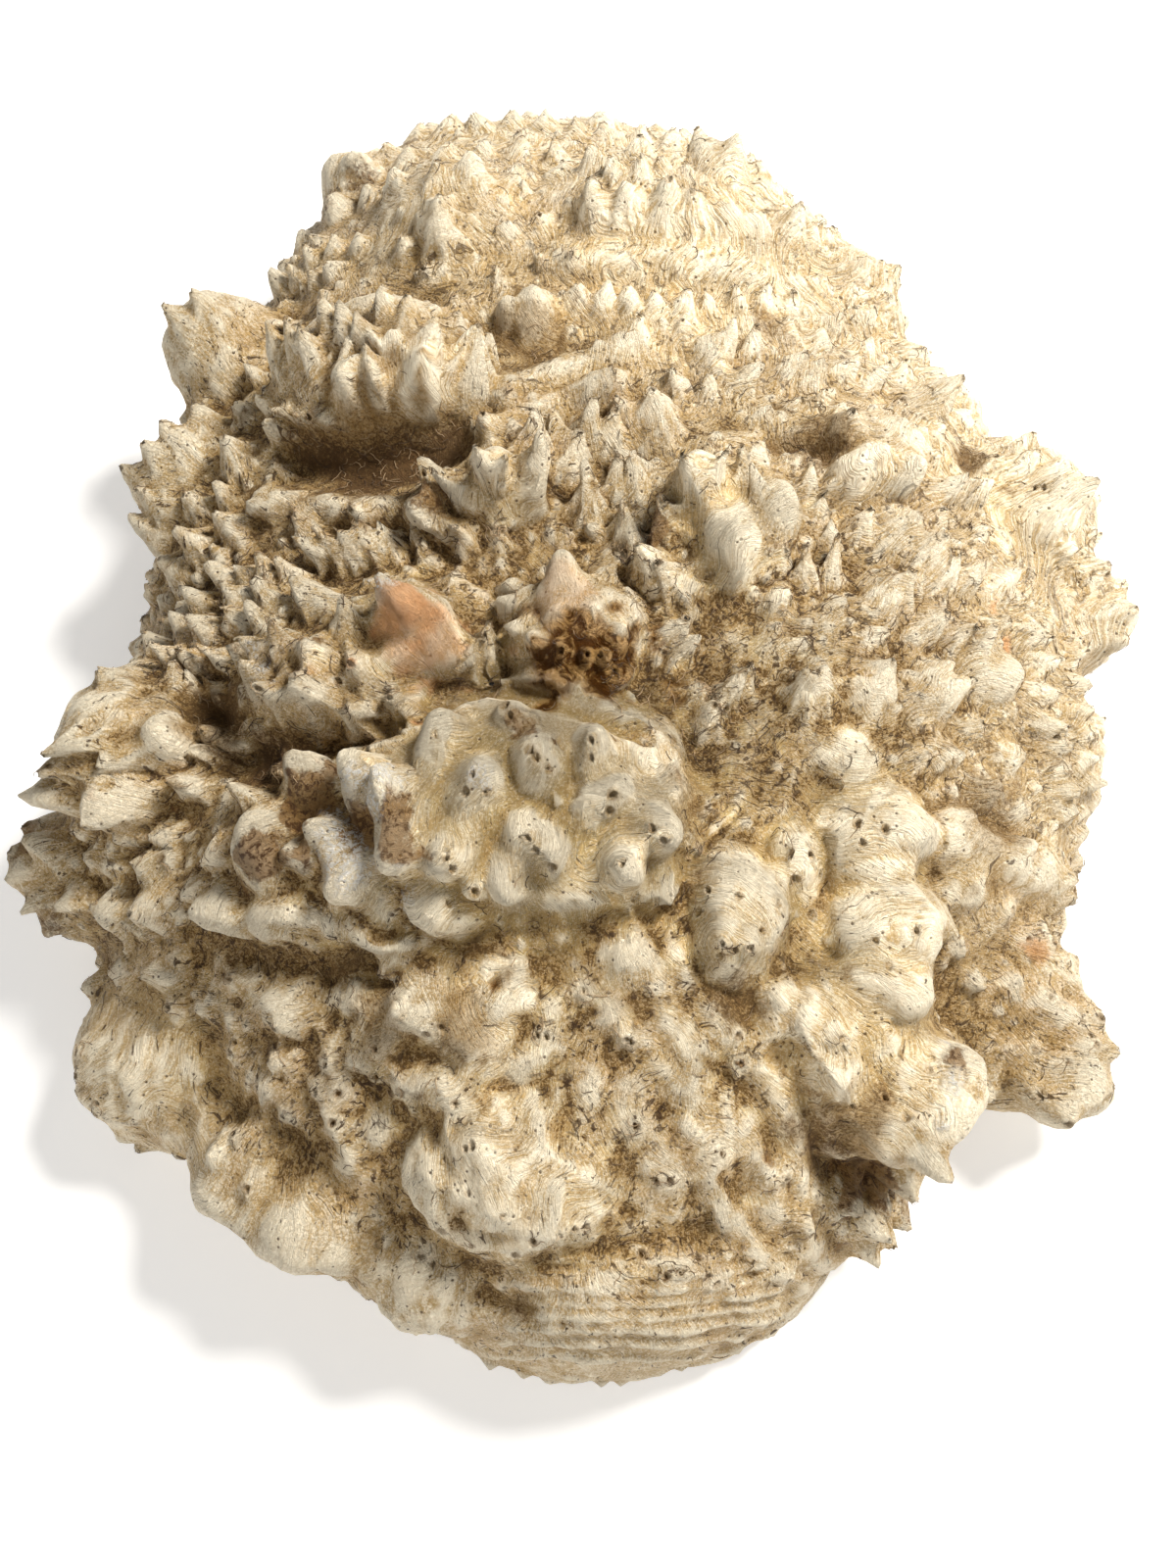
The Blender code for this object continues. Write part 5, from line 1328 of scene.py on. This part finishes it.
# Where bark fibres have gathered: (place, radius mm, share of the tries that stay)
fibrePlaces = [
    ((385, 465), 22, 1.0), ((760, 680), 34, 0.75), ((830, 740), 26, 0.6), ((280, 765), 12, 0.8),
    ((545, 1340), 3, 1.0), ((540, 930), 14, 0.6), ((690, 560), 14, 0.5), ((870, 640), 20, 0.6),
    ((750, 1000), 10, 0.6), ((240, 620), 26, 0.35), ((600, 560), 20, 0.35), ((440, 560), 18, 0.35),
    ((840, 455), 12, 0.7), ((980, 840), 18, 0.4), ((860, 1160), 12, 0.7), ((700, 860), 14, 0.5),
    ((200, 880), 22, 0.3), ((640, 420), 18, 0.35), ((480, 1040), 16, 0.4), ((1000, 620), 30, 0.3),
    ((540, 825), 40, 0.06), ((890, 1090), 24, 0.08), ((810, 890), 20, 0.08),
]


def makeFibres(ground, mesh):
    # Thin curled fibres that lie in the hollows of the surface
    look = fibreLook
    draw = random.Random(look["seed"])
    gathered = ground.seenAll(fibrePlaces)
    points = pointsOf(mesh) + np.array(boxShift)
    valley = readOff(mesh.attributes["relief"].data, "color", 4)[:, 1]
    curve = bpy.data.curves.new("bark_fibres", "CURVE")
    curve.dimensions = "3D"
    curve.bevel_depth = look["thickness"]
    curve.bevel_resolution = 0
    curve.use_fill_caps = True
    steps, made = look["steps"], 0
    for _ in range(look["tries"]):
        number, chance = draw.randrange(len(points)), draw.random()
        heading, length = draw.uniform(0, 2 * math.pi), draw.uniform(*look["length"])
        start = points[number]
        if made >= look["most"] or start[2] < look["lowest"] or chance > look["pull"] * valley[number] ** 2:
            continue
        here = [share for centre, radius, share in gathered if np.linalg.norm(start - centre) < radius]
        if draw.random() > max(here, default=look["elsewhere"]):
            continue
        place, normal = ground.nearest(start)
        side = unit(np.cross(normal, (0.3, 0.2, 1.0)))
        spline = curve.splines.new("POLY")
        spline.points.add(steps)
        for step in range(steps + 1):
            spline.points[step].co = (*(Vector(place + normal * draw.uniform(*look["lift"])) - boxShift), 1)
            heading += draw.uniform(-look["curl"], look["curl"])
            ahead = side * math.cos(heading) + np.cross(normal, side) * math.sin(heading)
            place, normal = ground.nearest(place + ahead * length / steps)
            side = unit(side - normal * (side @ normal))
        made += 1
    strands = bpy.data.objects.new("strands", curve)
    bpy.context.scene.collection.objects.link(strands)
    fibres = placed("bark_fibres", finishedMesh(strands))
    bpy.data.objects.remove(strands)
    print(f"{made} fibres of {len(fibres.data.polygons)} faces")
    graph = Graph("barkFibre")
    place = graph.node("ShaderNodeTexCoord").outputs["Object"]
    share = graph.noise(place, look["shadeSize"], 2).step(0.4, 0.6)
    graph.fill(graph.shader, {"Base Color": graph.mix(share, look["dark"], look["light"]), "Roughness": 0.85})
    fibres.data.materials.append(graph.material)
    return fibres


studioLook = {
    "background": (1.0, 0.985, 0.96),
    "backgroundStrength": 0.26,
    "floor": (0.93, 0.93, 0.93),
    "floorGlow": 0.28,
    "floorSize": 3.0,
    "floorDrop": 0.4 * mm,
    "aim": (0, 0, 0.04),
    "keyPower": 31.0,
    "keySize": 0.40,
    "keyFrom": (0.68, 0.44, 1.05),
    "keyColour": (1.0, 0.965, 0.91),
    "fillPower": 8.0,
    "fillSize": 1.2,
    "fillFrom": (-0.30, -1.15, 0.75),
    "fillColour": (1.0, 0.97, 0.93),
}


def addLight(name, place, aim, power, size, colour):
    lamp = bpy.data.lights.new(name, "AREA")
    lamp.energy = power
    lamp.shape = "DISK"
    lamp.size = size
    lamp.color = colour
    thing = bpy.data.objects.new(name, lamp)
    thing.location = place
    thing.rotation_euler = (Vector(place) - Vector(aim)).to_track_quat("Z", "Y").to_euler()
    bpy.context.scene.collection.objects.link(thing)


def setStudio():
    look = studioLook
    build = bmesh.new()
    bmesh.ops.create_grid(build, x_segments=1, y_segments=1, size=look["floorSize"])
    bmesh.ops.translate(build, verts=build.verts, vec=(0, 0, -look["floorDrop"]))
    mesh = bpy.data.meshes.new("floor")
    build.to_mesh(mesh)
    build.free()
    graph = Graph("paleFloor")
    graph.fill(graph.shader, {"Base Color": (*look["floor"], 1), "Roughness": 0.9, "Specular IOR Level": 0.1,
                              "Emission Color": (1, 1, 1, 1), "Emission Strength": look["floorGlow"]})
    mesh.materials.append(graph.material)
    placed("floor", mesh)
    world = bpy.data.worlds.new("studio")
    world.use_nodes = True
    background = world.node_tree.nodes["Background"]
    background.inputs["Color"].default_value = (*look["background"], 1)
    background.inputs["Strength"].default_value = look["backgroundStrength"]
    bpy.context.scene.world = world
    for name in ("key", "fill"):
        place, power, size, colour = (look[name + word] for word in ("From", "Power", "Size", "Colour"))
        addLight(name, place, look["aim"], power, size, colour)
    bpy.context.scene.view_settings.view_transform = "Standard"


def setCamera():
    eye, across, above, forward = sightFrame()
    camera = bpy.data.objects.new("camera", bpy.data.cameras.new("camera"))
    camera.data.sensor_fit = "VERTICAL"
    camera.data.sensor_height = 36
    camera.data.lens = sight["focalSteps"] / sight["steps"][1] * camera.data.sensor_height
    camera.data.clip_start = 0.01
    turn = Matrix((across, above, -forward)).transposed().to_4x4()
    camera.matrix_world = Matrix.Translation(Vector(eye) - boxShift) @ turn
    bpy.context.scene.collection.objects.link(camera)
    bpy.context.scene.camera = camera


# The shape is worked out from the middle of the dome; the frame's origin is the middle of its box
boxShift = Vector((*burlForm["boxCentre"], 0))
setCamera()
setStudio()
print("studio set")
burl, spots, spikes, warts, ground = makeBurl()
paintBurl(burl, spots, spikes, warts, ground)
print("burl painted")
burl.data.materials.append(woodMaterial())
burl.data.materials.append(sawnMaterial())
fibres = makeFibres(ground, burl.data)
for piece in (burl, fibres):
    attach(piece, "root")
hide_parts("burl_cap")
